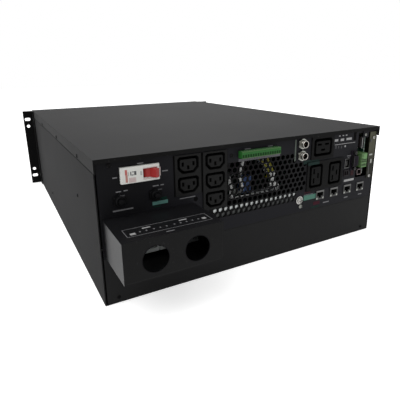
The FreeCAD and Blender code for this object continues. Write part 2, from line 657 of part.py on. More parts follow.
def rack_ear(side):
    """Folded ear: a flange on the side wall and a face with slots and round holes for rack screws."""
    wall, edge = side * RIGHT, side * EAR_WIDTH_OVERALL / 2
    skin = side * (RIGHT + EAR_THICKNESS)
    outline = [(wall, FRONT - EAR_FLANGE), (skin, FRONT - EAR_FLANGE), (skin, FRONT - EAR_THICKNESS),
               (edge, FRONT - EAR_THICKNESS), (edge, FRONT), (wall, FRONT)]
    ear = prism_z(outline, EAR_END_GAP, CHASSIS_HEIGHT - EAR_END_GAP)
    middle = CHASSIS_HEIGHT / 2
    x = side * RACK_HOLE_SPACING / 2
    y0, y1 = FRONT - EAR_THICKNESS - 1, FRONT + 1
    cuts = []
    for spread, half in ((RACK_SLOT_RISE, RACK_SLOT_LENGTH / 2 - RACK_HOLE_RADIUS), (RACK_ROUND_RISE, 0.0)):
        for rise in (-spread, spread):
            cuts.append(round_slot(x, middle + rise, RACK_HOLE_RADIUS, half, y0, y1))
    return ear.cut(group(cuts))


def rack_ears():
    """The pair of ears, mirror images of each other."""
    return group([rack_ear(-1), rack_ear(1)])


# Breaker and reset buttons

def breaker_toggle_pivot():
    """Point on the toggle's axis, which is upright."""
    return V(BREAKER_X + TOGGLE_OFFSET, REAR + TOGGLE_PIVOT_DEPTH, BREAKER_Z)


def breaker_body():
    """Moulded breaker case lying on its side, its nose through the panel and a well for the toggle."""
    nose, body = BREAKER_NOSE_LENGTH / 2, BREAKER_BODY_LENGTH / 2
    face = REAR - BREAKER_NOSE_PROUD
    back = REAR_INNER + BREAKER_BODY_DEPTH
    half = [(nose - BREAKER_EDGE_STEP, face), (nose, face + BREAKER_EDGE_STEP), (nose, REAR_INNER),
            (body, REAR_INNER), (body, back)]
    outline = [(BREAKER_X + x, y) for x, y in half] + [(BREAKER_X - x, y) for x, y in reversed(half)]
    half_width = BREAKER_NOSE_WIDTH / 2
    case = prism_z(outline, BREAKER_Z - half_width, BREAKER_Z + half_width)
    pivot = breaker_toggle_pivot()
    reach = TOGGLE_DRUM_RADIUS + TOGGLE_GAP
    well = centred_block(pivot.x, pivot.z, 2 * reach, TOGGLE_WIDTH + 2 * TOGGLE_GAP, face - 1,
                         pivot.y + reach)
    return case.cut(well)


def breaker_toggle():
    """Drum and tapered handle of the breaker, tipped over to its rest side."""
    pivot = breaker_toggle_pivot()
    z0 = pivot.z - TOGGLE_WIDTH / 2
    reach = TOGGLE_DRUM_RADIUS + 1
    drum = prism_z(regular_polygon(pivot.x, pivot.y, TOGGLE_DRUM_RADIUS, DRUM_SIDES), z0,
                   z0 + TOGGLE_WIDTH)
    drum = drum.cut(block(pivot.x - reach, pivot.x + reach, pivot.y + TOGGLE_BACK, pivot.y + reach, z0 - 1,
                          z0 + TOGGLE_WIDTH + 1))
    root, tip = TOGGLE_ROOT / 2, TOGGLE_TIP / 2
    outline = [(-root, 0), (root, 0), (tip, -TOGGLE_REACH), (-tip, -TOGGLE_REACH)]
    handle = prism_z([(pivot.x + x, pivot.y + y) for x, y in outline], z0, z0 + TOGGLE_WIDTH)
    toggle = fused(drum, handle)
    toggle.rotate(pivot, Z_AXIS, TOGGLE_REST_ANGLE)
    return toggle


def reset_breaker_cases():
    """Cases of the thermal breakers, behind the panel."""
    width, height, depth = RESET_BODY
    well = 2 * (RESET_BUTTON_RADIUS + RUNNING_GAP)
    well_end = REAR + RESET_BUTTON_DEPTH + RESET_TRAVEL + RUNNING_GAP
    return group([centred_block(x, RESET_Z, width, height, REAR_INNER, REAR_INNER + depth).cut(
        centred_block(x, RESET_Z, well, well, REAR, well_end)) for x in RESET_X])


def reset_bush(x):
    """Bored bush with its hexagonal nut on the panel and a keyed foot through it."""
    key = prism_y(regular_polygon(x, RESET_Z, RESET_KEY_CORNERS / 2, 6), REAR, REAR_INNER)
    nut = prism_y(regular_polygon(x, RESET_Z, RESET_NUT_CORNERS / 2, 6), REAR - RESET_NUT_HEIGHT, REAR)
    neck = facet_rod(x, RESET_Z, RESET_NECK_RADIUS, REAR - RESET_NECK_PROUD, REAR, NECK_SIDES)
    bore = facet_rod(x, RESET_Z, RESET_BUTTON_RADIUS + RUNNING_GAP, REAR - RESET_NECK_PROUD - 1,
                     REAR_INNER + 1, BORE_SIDES)
    return fused(key, nut, neck).cut(bore)


def reset_button(x):
    """Push button that runs in a thermal breaker's neck."""
    return facet_rod(x, RESET_Z, RESET_BUTTON_RADIUS, REAR - RESET_NECK_PROUD - RESET_BUTTON_PROUD,
                     REAR + RESET_BUTTON_DEPTH, BORE_SIDES)


# Terminal cover box

def terminal_cover_box():
    """Folded five-sided box over the power terminals, with two round cable entries."""
    x0, x1 = COVER_BOX_LEFT, COVER_BOX_LEFT + COVER_BOX_WIDTH
    y0 = REAR - COVER_BOX_DEPTH
    z0, z1 = COVER_BOX_Z, COVER_BOX_Z + COVER_BOX_HEIGHT
    shell = block(x0, x1, y0, REAR, z0, z1)
    hollow = block(x0 + SHEET, x1 - SHEET, y0 + SHEET, REAR + 1, z0 + SHEET, z1 - SHEET)
    holes = [facet_rod(x, CABLE_HOLE_Z, CABLE_HOLE_RADIUS, y0 - 1, y0 + SHEET + 1, CABLE_HOLE_SIDES)
             for x in CABLE_HOLE_X]
    return shell.cut(group([hollow] + holes))


def terminal_block_left(index):
    """Left edge of a power terminal block."""
    width = POLE_PITCH * POLES_PER_BLOCK
    return COVER_BOX_LEFT + BLOCK_FROM_BOX_LEFT + index * (width + BLOCK_SPACING)


def pole_centres(index):
    """Centre of each pole of a power terminal block."""
    left = terminal_block_left(index)
    return [left + POLE_PITCH * (i + 0.5) for i in range(POLES_PER_BLOCK)]


def terminal_block(index):
    """Moulded block with a wire mouth and a screw well for each pole."""
    left = terminal_block_left(index)
    right = left + POLE_PITCH * POLES_PER_BLOCK
    face = REAR - BLOCK_DEPTH
    body = block(left, right, face, REAR, BLOCK_Z, BLOCK_Z + BLOCK_HEIGHT)
    cuts = []
    for x in pole_centres(index):
        for (width, height, depth), rise in ((POLE_MOUTH, POLE_MOUTH_RISE), (POLE_WELL, POLE_WELL_RISE)):
            z = BLOCK_Z + rise + height / 2
            cuts.append(centred_block(x, z, width, height, face - 1, face + depth))
    return body.cut(group(cuts))


def terminal_blocks():
    """The two power terminal blocks, side by side."""
    return group([terminal_block(0), terminal_block(1)])


def terminal_clamps():
    """Cage clamps at the back of each wire mouth."""
    width, height, depth = POLE_MOUTH
    face = REAR - BLOCK_DEPTH
    z = BLOCK_Z + POLE_MOUTH_RISE + height / 2
    inset = 2 * CLAMP_GAP
    return group([centred_block(x, z, width - inset, height - inset, face + depth / 2, face + depth)
                  for index in (0, 1) for x in pole_centres(index)])


# Power outlets

def strip_extent(outlets):
    """Middle height and overall height of a strip that carries so many outlets."""
    bottom = OUTLET_TOP_Z - OUTLET_PITCH * (outlets - 1) - OUTLET_END_MARGIN
    return (STRIP_TOP + bottom) / 2, STRIP_TOP - bottom


def outlet_heights(outlets):
    """Heights of a strip's outlets, from the top down."""
    return [OUTLET_TOP_Z - OUTLET_PITCH * i for i in range(outlets)]


def contact_places(x, z):
    """Centres of an outlet's two line contacts and its lower earth contact."""
    return [(x - CONTACT_SPREAD, z + CONTACT_RISE), (x + CONTACT_SPREAD, z + CONTACT_RISE),
            (x, z - EARTH_CONTACT_DROP)]


def outlet_strip(x, outlets):
    """One moulding with a grooved, three-slot outlet at each place."""
    face = REAR - OUTLET_FLANGE_PROUD
    z_mid, height = strip_extent(outlets)
    lap = 2 * OUTLET_FLANGE_LAP
    flange = centred_block(x, z_mid, OUTLET_STRIP_WIDTH, height, face, REAR)
    body = centred_block(x, z_mid, OUTLET_STRIP_WIDTH - lap, height - lap, REAR, REAR + OUTLET_BODY_DEPTH)
    cuts = []
    for z in outlet_heights(outlets):
        width, tall = OUTLET_GROOVE
        wide = 2 * OUTLET_GROOVE_WIDTH
        less = OUTLET_GROOVE_WIDTH / 2
        rim = chamfered_rectangle(x, z, width, tall, OUTLET_LOW_CHAMFER, OUTLET_TOP_CHAMFER)
        core = chamfered_rectangle(x, z, width - wide, tall - wide, OUTLET_LOW_CHAMFER - less,
                                   OUTLET_TOP_CHAMFER / 2)
        outer = prism_y(rim, face - 1, face + OUTLET_GROOVE_DEPTH)
        island = prism_y(core, face - 2, face + OUTLET_GROOVE_DEPTH + 1)
        cuts.append(outer.cut(island))
        cuts += [centred_block(cx, cz, CONTACT_SLOT[0], CONTACT_SLOT[1], face - 1, face + CONTACT_SLOT_DEPTH)
                 for cx, cz in contact_places(x, z)]
    return fused(flange, body).cut(group(cuts))


def large_frames():
    """Centre and size of the two frames that carry the larger outlets."""
    long_side, short_side = LARGE_GROOVE
    margin = 2 * LARGE_FRAME_MARGIN
    return [(LARGE_SINGLE_X, LARGE_SINGLE_Z, long_side + margin, short_side + margin),
            (LARGE_PAIR_X, LARGE_PAIR_Z, short_side + LARGE_PAIR_PITCH + margin, long_side + margin)]


def large_contact_places(x, z, turn):
    """Centres of a larger outlet's contacts, turned about its middle."""
    places = [(x - LARGE_CONTACT_SPREAD, z + LARGE_CONTACT_RISE),
              (x + LARGE_CONTACT_SPREAD, z + LARGE_CONTACT_RISE), (x, z - LARGE_CONTACT_RISE)]
    return turned(places, x, z, turn)


def large_outlet_cutters(x, z, turn):
    """Groove and contact slots of one larger outlet."""
    face = REAR - OUTLET_FLANGE_PROUD
    width, height = LARGE_GROOVE
    wide = 2 * LARGE_GROOVE_WIDTH
    rim = chamfered_rectangle(x, z, width, height, LARGE_CHAMFER, LARGE_CHAMFER)
    core = chamfered_rectangle(x, z, width - wide, height - wide, LARGE_CHAMFER / 2, LARGE_CHAMFER / 2)
    outer = prism_y(turned(rim, x, z, turn), face - 1, face + OUTLET_GROOVE_DEPTH)
    island = prism_y(turned(core, x, z, turn), face - 2, face + OUTLET_GROOVE_DEPTH + 1)
    slot = LARGE_CONTACT_SLOT if turn == 0 else (LARGE_CONTACT_SLOT[1], LARGE_CONTACT_SLOT[0])
    slots = [centred_block(cx, cz, slot[0], slot[1], face - 1, face + CONTACT_SLOT_DEPTH)
             for cx, cz in large_contact_places(x, z, turn)]
    return [outer.cut(island)] + slots


def large_outlet_places():
    """Centre and turn of each larger outlet, frame by frame."""
    half = LARGE_PAIR_PITCH / 2
    pair = [(LARGE_PAIR_X - half, LARGE_PAIR_Z, LARGE_GROUND_TURN),
            (LARGE_PAIR_X + half, LARGE_PAIR_Z, LARGE_GROUND_TURN)]
    return [[(LARGE_SINGLE_X, LARGE_SINGLE_Z, 0)], pair]


def large_outlet_frame(index):
    """One moulding that carries one or two of the larger outlets."""
    x, z, width, height = large_frames()[index]
    face = REAR - OUTLET_FLANGE_PROUD
    lap = 2 * OUTLET_FLANGE_LAP
    flange = centred_block(x, z, width, height, face, REAR)
    body = centred_block(x, z, width - lap, height - lap, REAR, REAR + OUTLET_BODY_DEPTH)
    cuts = []
    for cx, cz, turn in large_outlet_places()[index]:
        cuts += large_outlet_cutters(cx, cz, turn)
    return fused(flange, body).cut(group(cuts))


# Signal terminals and sockets

def signal_terminal_header():
    """Socket half of the signal terminals, through the panel."""
    return centred_block(SIGNAL_X, SIGNAL_Z, SIGNAL_WIDTH, SIGNAL_BODY_HEIGHT, REAR,
                         REAR + SIGNAL_HEADER_DEPTH)


def signal_terminal_plug():
    """Plug half of the signal terminals, with a square wire hole for each pole."""
    width, height, depth = SIGNAL_WIRE_HOLE
    face = REAR - SIGNAL_PLUG_LENGTH
    body = centred_block(SIGNAL_X, SIGNAL_Z, SIGNAL_WIDTH, SIGNAL_BODY_HEIGHT, face, REAR)
    holes = [centred_block(SIGNAL_LEFT + SIGNAL_PITCH * (i + 0.5), SIGNAL_Z - SIGNAL_WIRE_HOLE_DROP,
                           width, height, face - 1, face + depth) for i in range(SIGNAL_POLES)]
    return body.cut(group(holes))


def round_socket(z):
    """Round socket: a keyed foot, a hexagonal nut on the panel and a bored barrel."""
    x = ROUND_SOCKET_X
    foot = prism_y(regular_polygon(x, z, ROUND_KEY_CORNERS / 2, 6), REAR, REAR_INNER + ROUND_SHANK_LENGTH)
    nut = prism_y(regular_polygon(x, z, ROUND_NUT_ACROSS_CORNERS / 2, 6), REAR - ROUND_NUT_HEIGHT, REAR)
    barrel = facet_rod(x, z, ROUND_BARREL_RADIUS, REAR - ROUND_BARREL_PROUD, REAR, NECK_SIDES)
    bore = facet_rod(x, z, ROUND_BORE_RADIUS, REAR - ROUND_BARREL_PROUD - 1,
                     REAR - ROUND_BARREL_PROUD + ROUND_BORE_DEPTH, BORE_SIDES)
    return fused(foot, nut, barrel).cut(bore)


def panel_fittings():
    """Plated fittings turned to go through the panel: the reset bushes and the round sockets."""
    return group([reset_bush(x) for x in RESET_X] + [round_socket(z) for z in ROUND_SOCKET_Z])


def jack_port_outline(x, z):
    """Stepped outline of a network jack's mouth, with its latch notch downward."""
    half, rise = JACK_PORT[0] / 2, JACK_PORT[1]
    latch_width, latch_drop = JACK_LATCH
    base = z - rise / 2
    right = [(latch_width / 2, base - latch_drop), (latch_width / 2, base), (half, base), (half, base + rise)]
    return [(x + dx, dz) for dx, dz in right] + [(x - dx, dz) for dx, dz in reversed(right)]


def network_jacks():
    """Plated shields of the network jacks, open at the mouth."""
    width, height, depth = JACK_SIZE
    face = REAR - JACK_PROUD
    shields = []
    for x in JACK_X:
        shell = centred_block(x, JACK_Z, width, height, face, face + depth)
        wall = 2 * JACK_WALL
        hollow = centred_block(x, JACK_Z, width - wall, height - wall, face + JACK_WALL,
                               face + depth + 1)
        mouth = prism_y(jack_port_outline(x, JACK_Z + JACK_PORT_RISE), face - 1, face + 1)
        shields.append(shell.cut(group([hollow, mouth])))
    return group(shields)


def network_jack_inserts():
    """Moulded inserts of the network jacks, with the same mouth."""
    width, height, depth = JACK_SIZE
    face = REAR - JACK_PROUD
    wall = 2 * JACK_WALL
    inserts = []
    for x in JACK_X:
        body = centred_block(x, JACK_Z, width - wall, height - wall, face + JACK_WALL, face + depth)
        mouth = prism_y(jack_port_outline(x, JACK_Z + JACK_PORT_RISE), face - 1, face + JACK_PORT_DEPTH)
        inserts.append(body.cut(mouth))
    return group(inserts)


def usb_socket():
    """Plated shell of the square service socket around its tongue."""
    width, height, depth = USB_SIZE
    face = REAR - USB_PROUD
    shell = centred_block(SERVICE_X, USB_Z, width, height, face, COMMS_BOARD_FACE)
    wall = 2 * USB_WALL
    tongue_width, tongue_height, tongue_length = USB_TONGUE
    y1 = face + tongue_length + 1
    hollow = centred_block(SERVICE_X, USB_Z, width - wall, height - wall, face - 1, y1)
    tongue = centred_block(SERVICE_X, USB_Z, tongue_width, tongue_height, face + 1, y1)
    return shell.cut(hollow.cut(tongue))


def serial_socket():
    """Serial socket standing upright: a flange with a tapered shell, and its body behind the panel."""
    width, height, thickness = SERIAL_FLANGE
    shell_width, shell_height, shell_length = SERIAL_SHELL
    flange = centred_block(SERIAL_X, SERIAL_Z, width, height, REAR - thickness, REAR)
    body = centred_block(SERIAL_X, SERIAL_Z, SERIAL_BODY[0], SERIAL_BODY[1], REAR, COMMS_BOARD_FACE)
    half, tall = shell_width / 2, shell_height / 2
    low, high = SERIAL_Z - tall, SERIAL_Z + tall
    outline = [(SERIAL_X - half, low), (SERIAL_X + half, low + SERIAL_TAPER),
               (SERIAL_X + half, high - SERIAL_TAPER), (SERIAL_X - half, high)]
    shell = prism_y(outline, REAR - shell_length, REAR)
    return fused(flange, body, shell)


def stop_socket():
    """Two-way socket for the remote stop contact."""
    width, height, depth = STOP_SOCKET_SIZE
    face = REAR - STOP_SOCKET_PROUD
    body = centred_block(SERVICE_X, STOP_SOCKET_Z, width, height, face, COMMS_BOARD_FACE)
    ports = [centred_block(SERVICE_X + dx, STOP_SOCKET_Z, STOP_PORT[0], STOP_PORT[1], face - 1,
                           face + STOP_PORT[2]) for dx in (-STOP_PORT_SPREAD / 2, STOP_PORT_SPREAD / 2)]
    return body.cut(group(ports))


def termination_block():
    """Small red block beside the stop socket."""
    return centred_block(SERIAL_X, SWITCH_Z, SWITCH_SIZE[0], SWITCH_SIZE[1], REAR - SWITCH_PROUD,
                         COMMS_BOARD_FACE)


def communications_board():
    """L-shaped circuit board upright behind the jacks and the service sockets."""
    left = min(JACK_X) - JACK_SIZE[0] / 2 - BOARD_LOW_MARGIN
    right = max(JACK_X) + JACK_SIZE[0] / 2 + BOARD_LOW_MARGIN
    low = JACK_Z - JACK_SIZE[1] / 2 - BOARD_LOW_MARGIN
    shoulder = JACK_Z + JACK_SIZE[1] / 2 + BOARD_LOW_MARGIN
    column_left = SERVICE_X - USB_SIZE[0] / 2 - BOARD_LOW_MARGIN
    column_right = SLOT_LEFT - BOARD_LOW_MARGIN
    top = SERIAL_Z + SERIAL_FLANGE[1] / 2
    outline = [(left, low), (right, low), (right, shoulder), (column_right, shoulder), (column_right, top),
               (column_left, top), (column_left, shoulder), (left, shoulder)]
    return prism_y(outline, COMMS_BOARD_FACE, COMMS_BOARD_FACE + BOARD_THICKNESS)


# Option card

def card_board_left():
    """Left face of the card's upright circuit board, beside its terminal."""
    return SLOT_LEFT + CUTOUT_GAP + CARD_TERMINAL_SIZE[0] + 2 * CARD_TERMINAL_RIB


def card_bracket():
    """Folded bracket along the slot's right edge that carries the card."""
    x1 = SLOT_RIGHT + CARD_BRACKET_LAP
    x0 = x1 - CARD_BRACKET_WIDTH
    face = REAR - CARD_BRACKET_SHEET
    z0, z1 = SLOT_BOTTOM_Z - CARD_BRACKET_END_LAP, SLOT_TOP
    plate = block(x0, x1, face, REAR, z0, z1)
    low, high = SLOT_BOTTOM_Z + CARD_BOARD_GAP, SLOT_TOP - CARD_BOARD_GAP
    leg = block(x0, x0 + CARD_BRACKET_SHEET, face, REAR_INNER + CARD_BRACKET_RETURN, low, high)
    foot_y = REAR_INNER + CARD_BRACKET_RETURN
    foot = block(card_board_left() + BOARD_THICKNESS, x0 + CARD_BRACKET_SHEET, foot_y,
                 foot_y + CARD_BRACKET_SHEET, low, high)
    return fused(plate, leg, foot)


def card_board():
    """Upright circuit board of the option card."""
    x = card_board_left()
    low = SLOT_BOTTOM_Z + (SLOT_HEIGHT - CARD_BOARD_HEIGHT) / 2
    return block(x, x + BOARD_THICKNESS, REAR, REAR + CARD_LENGTH, low, low + CARD_BOARD_HEIGHT)


def card_terminal():
    """Pluggable terminal on the card, ribbed between its poles."""
    width, proud, depth = CARD_TERMINAL_SIZE
    x1 = card_board_left()
    x0 = x1 - width
    height = CARD_TERMINAL_POLES * CARD_TERMINAL_PITCH
    body = block(x0, x1, REAR - proud, REAR + depth, CARD_TERMINAL_Z, CARD_TERMINAL_Z + height)
    ribs = [block(x0 - CARD_TERMINAL_RIB, x1, REAR - proud, REAR + depth,
                  CARD_TERMINAL_Z + CARD_TERMINAL_PITCH * i - CARD_TERMINAL_RIB,
                  CARD_TERMINAL_Z + CARD_TERMINAL_PITCH * i + CARD_TERMINAL_RIB)
            for i in range(CARD_TERMINAL_POLES + 1)]
    return fused(body, *ribs)


def card_headers():
    """Pale pin headers above and below the card's terminal, open to the rear."""
    x1 = card_board_left()
    parts = []
    for bottom, (width, height) in zip(CARD_HEADER_Z, CARD_HEADER_SIZES):
        body = block(x1 - width, x1, REAR, REAR + CARD_HEADER_DEPTH, bottom, bottom + height)
        wall = CARD_HEADER_WALL
        well = block(x1 - width + wall, x1 - wall, REAR - 1, REAR + CARD_HEADER_WELL, bottom + wall,
                     bottom + height - wall)
        parts.append(body.cut(well))
    return group(parts)


def card_relay():
    """Relay on the far side of the card's board."""
    width, height, depth = CARD_RELAY
    x0 = card_board_left() + BOARD_THICKNESS
    x1 = x0 + width - CARD_BRACKET_SHEET
    y0 = REAR_INNER + CARD_BRACKET_RETURN + CARD_BRACKET_SHEET + RUNNING_GAP
    return block(x0, x1, y0, y0 + depth, CARD_RELAY_Z, CARD_RELAY_Z + height)


# Power deck

def power_board():
    """Main power circuit board on the shelf's standoffs."""
    return block(LEFT + POWER_BOARD_LEFT_INSET, RIGHT - POWER_BOARD_RIGHT_INSET, POWER_BOARD_REAR,
                 FRONT - POWER_BOARD_FRONT_INSET, POWER_BOARD_UNDERSIDE, POWER_BOARD_TOP)


def power_board_middle():
    """X of the power board's middle."""
    return (LEFT + POWER_BOARD_LEFT_INSET + RIGHT - POWER_BOARD_RIGHT_INSET) / 2


def heatsinks():
    """Two extruded heatsinks, finned upward along the air's path."""
    middle = power_board_middle()
    y0 = POWER_BOARD_REAR + HEATSINK_REAR_OFFSET
    pitch = (HEATSINK_WIDTH - HEATSINK_FIN) / (HEATSINK_FINS - 1)
    sinks = []
    for x in (middle - HEATSINK_SPREAD / 2, middle + HEATSINK_SPREAD / 2):
        left = x - HEATSINK_WIDTH / 2
        z0, root, top = POWER_BOARD_TOP, POWER_BOARD_TOP + HEATSINK_BASE, POWER_BOARD_TOP + HEATSINK_HEIGHT
        outline = [(left + HEATSINK_WIDTH, z0), (left, z0)]
        for i in range(HEATSINK_FINS):
            fin = left + pitch * i
            outline += [(fin, root if i else top), (fin, top), (fin + HEATSINK_FIN, top)]
            outline += [(fin + HEATSINK_FIN, root)] if i < HEATSINK_FINS - 1 else []
        outline = [p for i, p in enumerate(outline) if i == 0 or p != outline[i - 1]]
        sinks.append(prism_y(outline, y0, y0 + HEATSINK_LENGTH))
    return group(sinks)


def inductors():
    """Two wound inductors between the heatsinks: a core with a coil round its middle limb."""
    middle = power_board_middle()
    width, length, height = INDUCTOR_SIZE
    parts = []
    for i in range(2):
        y = POWER_BOARD_REAR + INDUCTOR_REAR_OFFSET + INDUCTOR_PITCH * i
        core = block(middle - width / 2, middle + width / 2, y, y + length, POWER_BOARD_TOP,
                     POWER_BOARD_TOP + height)
        coil = block(middle - width / 4, middle + width / 4, y - INDUCTOR_COIL_LAP,
                     y + length + INDUCTOR_COIL_LAP, POWER_BOARD_TOP,
                     POWER_BOARD_TOP + height - INDUCTOR_COIL_LAP)
        parts.append(fused(core, coil))
    return group(parts)


def bus_capacitors():
    """A row of tall cans along the board's left edge."""
    x = LEFT + POWER_BOARD_LEFT_INSET + CAPACITOR_SIDE_INSET
    y0 = POWER_BOARD_REAR + CAPACITOR_REAR_OFFSET
    places = [(x, y0 + CAPACITOR_PITCH * i) for i in range(CAPACITOR_COUNT)]
    return group([prism_z(regular_polygon(px, py, CAPACITOR_RADIUS, CAPACITOR_SIDES), POWER_BOARD_TOP,
                          POWER_BOARD_TOP + CAPACITOR_HEIGHT) for px, py in places])


def film_capacitor():
    """Boxed film capacitor at the board's rear edge, seen through the vent."""
    width, depth, height = FILM_CAPACITOR
    y0 = POWER_BOARD_REAR + 1
    return block(FILM_CAPACITOR_X - width / 2, FILM_CAPACITOR_X + width / 2, y0, y0 + depth, POWER_BOARD_TOP,
                 POWER_BOARD_TOP + height)


def control_board():
    """Control circuit board standing on edge along the power board."""
    y0 = POWER_BOARD_REAR + CONTROL_BOARD_REAR_OFFSET
    return block(CONTROL_BOARD_X, CONTROL_BOARD_X + BOARD_THICKNESS, y0, y0 + CONTROL_BOARD_LENGTH,
                 POWER_BOARD_TOP, POWER_BOARD_TOP + CONTROL_BOARD_HEIGHT)


# Fans

def fan_frames():
    """Square fan frames with a many-sided bore and a crossed spider at the rear."""
    frames = []
    reach = 2 * FAN_BORE_RADIUS + FAN_STRUT / 4
    for x in FAN_X:
        frame = centred_block(x, FAN_HEIGHT, FAN_SIZE, FAN_SIZE, FAN_REAR, FRONT_INNER)
        bore = facet_rod(x, FAN_HEIGHT, FAN_BORE_RADIUS, FAN_REAR - 1, FRONT_INNER + 1, FAN_BORE_SIDES)
        across = centred_block(x, FAN_HEIGHT, reach, FAN_STRUT, FAN_REAR, FAN_REAR + FAN_SPIDER)
        upright = centred_block(x, FAN_HEIGHT, FAN_STRUT, reach, FAN_REAR, FAN_REAR + FAN_SPIDER)
        frames.append(fused(frame.cut(bore), across, upright))
    return group(frames)


def fan_rotor(index):
    """Hub with slanted blades, a running gap in front of the spider."""
    x = FAN_X[index]
    y0 = FAN_REAR + FAN_SPIDER + RUNNING_GAP
    middle = y0 + FAN_HUB_LENGTH / 2
    hub_corners = regular_polygon(x, FAN_HEIGHT, FAN_HUB_RADIUS, FAN_HUB_SIDES, 90.0)
    hub = prism_y(hub_corners, y0, y0 + FAN_HUB_LENGTH)
    blades = []
    for i in range(FAN_BLADES):
        blade = block(-FAN_BLADE_CHORD / 2, FAN_BLADE_CHORD / 2, -FAN_BLADE_THICKNESS / 2,
                      FAN_BLADE_THICKNESS / 2, FAN_HUB_RADIUS / 2, FAN_BLADE_REACH)
        blade.rotate(V(0, 0, 0), Z_AXIS, FAN_BLADE_ANGLE)
        blade.rotate(V(0, 0, 0), Y_AXIS, 360.0 * i / FAN_BLADES)
        blade.translate(V(x, middle, FAN_HEIGHT))
        blades.append(blade)
    return fused(hub, *blades)


# Batteries

def battery_columns():
    """Left edge of each battery column, two columns to a tray."""
    pair = 2 * BATTERY_WIDTH + BATTERY_GAP
    inner = TRAY_CENTRE_GAP / 2 + SHEET + BATTERY_GAP
    return [-inner - pair, -inner - BATTERY_WIDTH, inner, inner + BATTERY_WIDTH + BATTERY_GAP]


def battery_trays():
    """Two open sheet trays that hold the batteries."""
    pair = 2 * BATTERY_WIDTH + BATTERY_GAP
    y0 = REAR + TRAY_REAR_INSET
    length = BATTERY_ROWS * (BATTERY_LENGTH + BATTERY_GAP) + BATTERY_GAP
    trays = []
    for left in (battery_columns()[0], battery_columns()[2]):
        x0, x1 = left - BATTERY_GAP - SHEET, left + pair + BATTERY_GAP + SHEET
        shell = block(x0, x1, y0, y0 + length + 2 * SHEET, SHEET, TRAY_TOP)
        hollow = block(x0 + SHEET, x1 - SHEET, y0 + SHEET, y0 + SHEET + length, 2 * SHEET,
                       TRAY_TOP + 1)
        trays.append(shell.cut(hollow))
    return group(trays)


def battery_blocks():
    """Sealed battery blocks lying in the trays."""
    y0 = REAR + TRAY_REAR_INSET + SHEET + BATTERY_GAP
    z0, z1 = 2 * SHEET, BATTERY_TOP
    blocks = []
    for x in battery_columns():
        for row in range(BATTERY_ROWS):
            y = y0 + row * (BATTERY_LENGTH + BATTERY_GAP)
            blocks.append(block(x, x + BATTERY_WIDTH, y, y + BATTERY_LENGTH, z0, z1))
    return group(blocks)


# Front

def front_subpanel():
    """Steel front panel behind the bezel, slotted in front of the fans."""
    half = WALL_INNER - JOGGLE - SUBPANEL_EDGE_GAP
    low, high = SHEET + SUBPANEL_EDGE_GAP, LID_UNDERSIDE - SUBPANEL_EDGE_GAP
    plate = block(-half, half, FRONT_INNER, FRONT, low, high)
    width, height = SUBPANEL_SLOT
    slots = []
    for x in FAN_X:
        for i in range(SUBPANEL_SLOTS):
            z = FAN_HEIGHT + SUBPANEL_SLOT_PITCH * (i - (SUBPANEL_SLOTS - 1) / 2)
            slots.append(centred_block(x, z, width, height, FRONT_INNER - 1, FRONT + 1))
    return plate.cut(group(slots))


def key_cutter(x, y0, y1, gap):
    """The power key or a smaller menu key, grown by a gap."""
    width, height = POWER_KEY_SIZE if x == POWER_KEY_X else MENU_KEY_SIZE
    return centred_block(x, KEY_Z, width + 2 * gap, height + 2 * gap, y0, y1)


def front_bezel():
    """Moulded bezel shell with upright vent slots, a display window and holes for the keys."""
    half = RIGHT - BEZEL_SIDE_INSET
    z0, z1 = BEZEL_BOTTOM_GAP, CHASSIS_HEIGHT - BEZEL_BOTTOM_GAP
    outer = block(-half, half, BEZEL_REAR, BEZEL_FRONT, z0, z1)
    rim = [e for e in outer.Edges if e.BoundBox.YMin > BEZEL_FRONT - 1]
    outer = outer.makeChamfer(BEZEL_EDGE_BEVEL, rim)
    wall = BEZEL_WALL
    cuts = [block(-half + wall, half - wall, BEZEL_REAR - 1, BEZEL_FRONT - wall, z0 + wall, z1 - wall)]
    width, height = BEZEL_VENT_SLOT
    y0, y1 = BEZEL_FRONT - wall - 1, BEZEL_FRONT + 1
    for side in (-1, 1):
        for i in range(BEZEL_VENT_SLOTS):
            x = side * BEZEL_VENT_OFFSET + BEZEL_VENT_PITCH * (i - (BEZEL_VENT_SLOTS - 1) / 2)
            cuts.append(centred_block(x, BEZEL_MIDDLE, width, height, y0, y1))
    gap = 2 * CUTOUT_GAP
    cuts.append(centred_block(0, DISPLAY_Z, DISPLAY_SIZE[0] + gap, DISPLAY_SIZE[1] + gap, y0, y1))
    cuts += [key_cutter(x, y0, y1, RUNNING_GAP) for x in (POWER_KEY_X,) + MENU_KEYS]
    return outer.cut(group(cuts))


def display_window():
    """Smoked display with a lip behind the bezel's face."""
    lens = centred_block(0, DISPLAY_Z, DISPLAY_SIZE[0], DISPLAY_SIZE[1], BEZEL_FRONT - BEZEL_WALL,
                         BEZEL_FRONT + DISPLAY_PROUD)
    lap = 2 * DISPLAY_LIP
    lip = centred_block(0, DISPLAY_Z, DISPLAY_SIZE[0] + lap, DISPLAY_SIZE[1] + lap,
                        BEZEL_FRONT - BEZEL_WALL - DISPLAY_THICKNESS, BEZEL_FRONT - BEZEL_WALL)
    return fused(lens, lip)


def front_key(x):
    """A key through the bezel, with a collar that stops it from behind and a stem."""
    collar_face = BEZEL_FRONT - BEZEL_WALL - RUNNING_GAP
    cap = key_cutter(x, collar_face - KEY_COLLAR_THICKNESS / 2, BEZEL_FRONT + KEY_PROUD, 0.0)
    collar = key_cutter(x, collar_face - KEY_COLLAR_THICKNESS, collar_face, KEY_COLLAR)
    stem = centred_block(x, KEY_Z, KEY_STEM, KEY_STEM, collar_face - KEY_COLLAR_THICKNESS - KEY_STEM,
                         collar_face - KEY_COLLAR_THICKNESS / 2)
    return fused(cap, collar, stem)


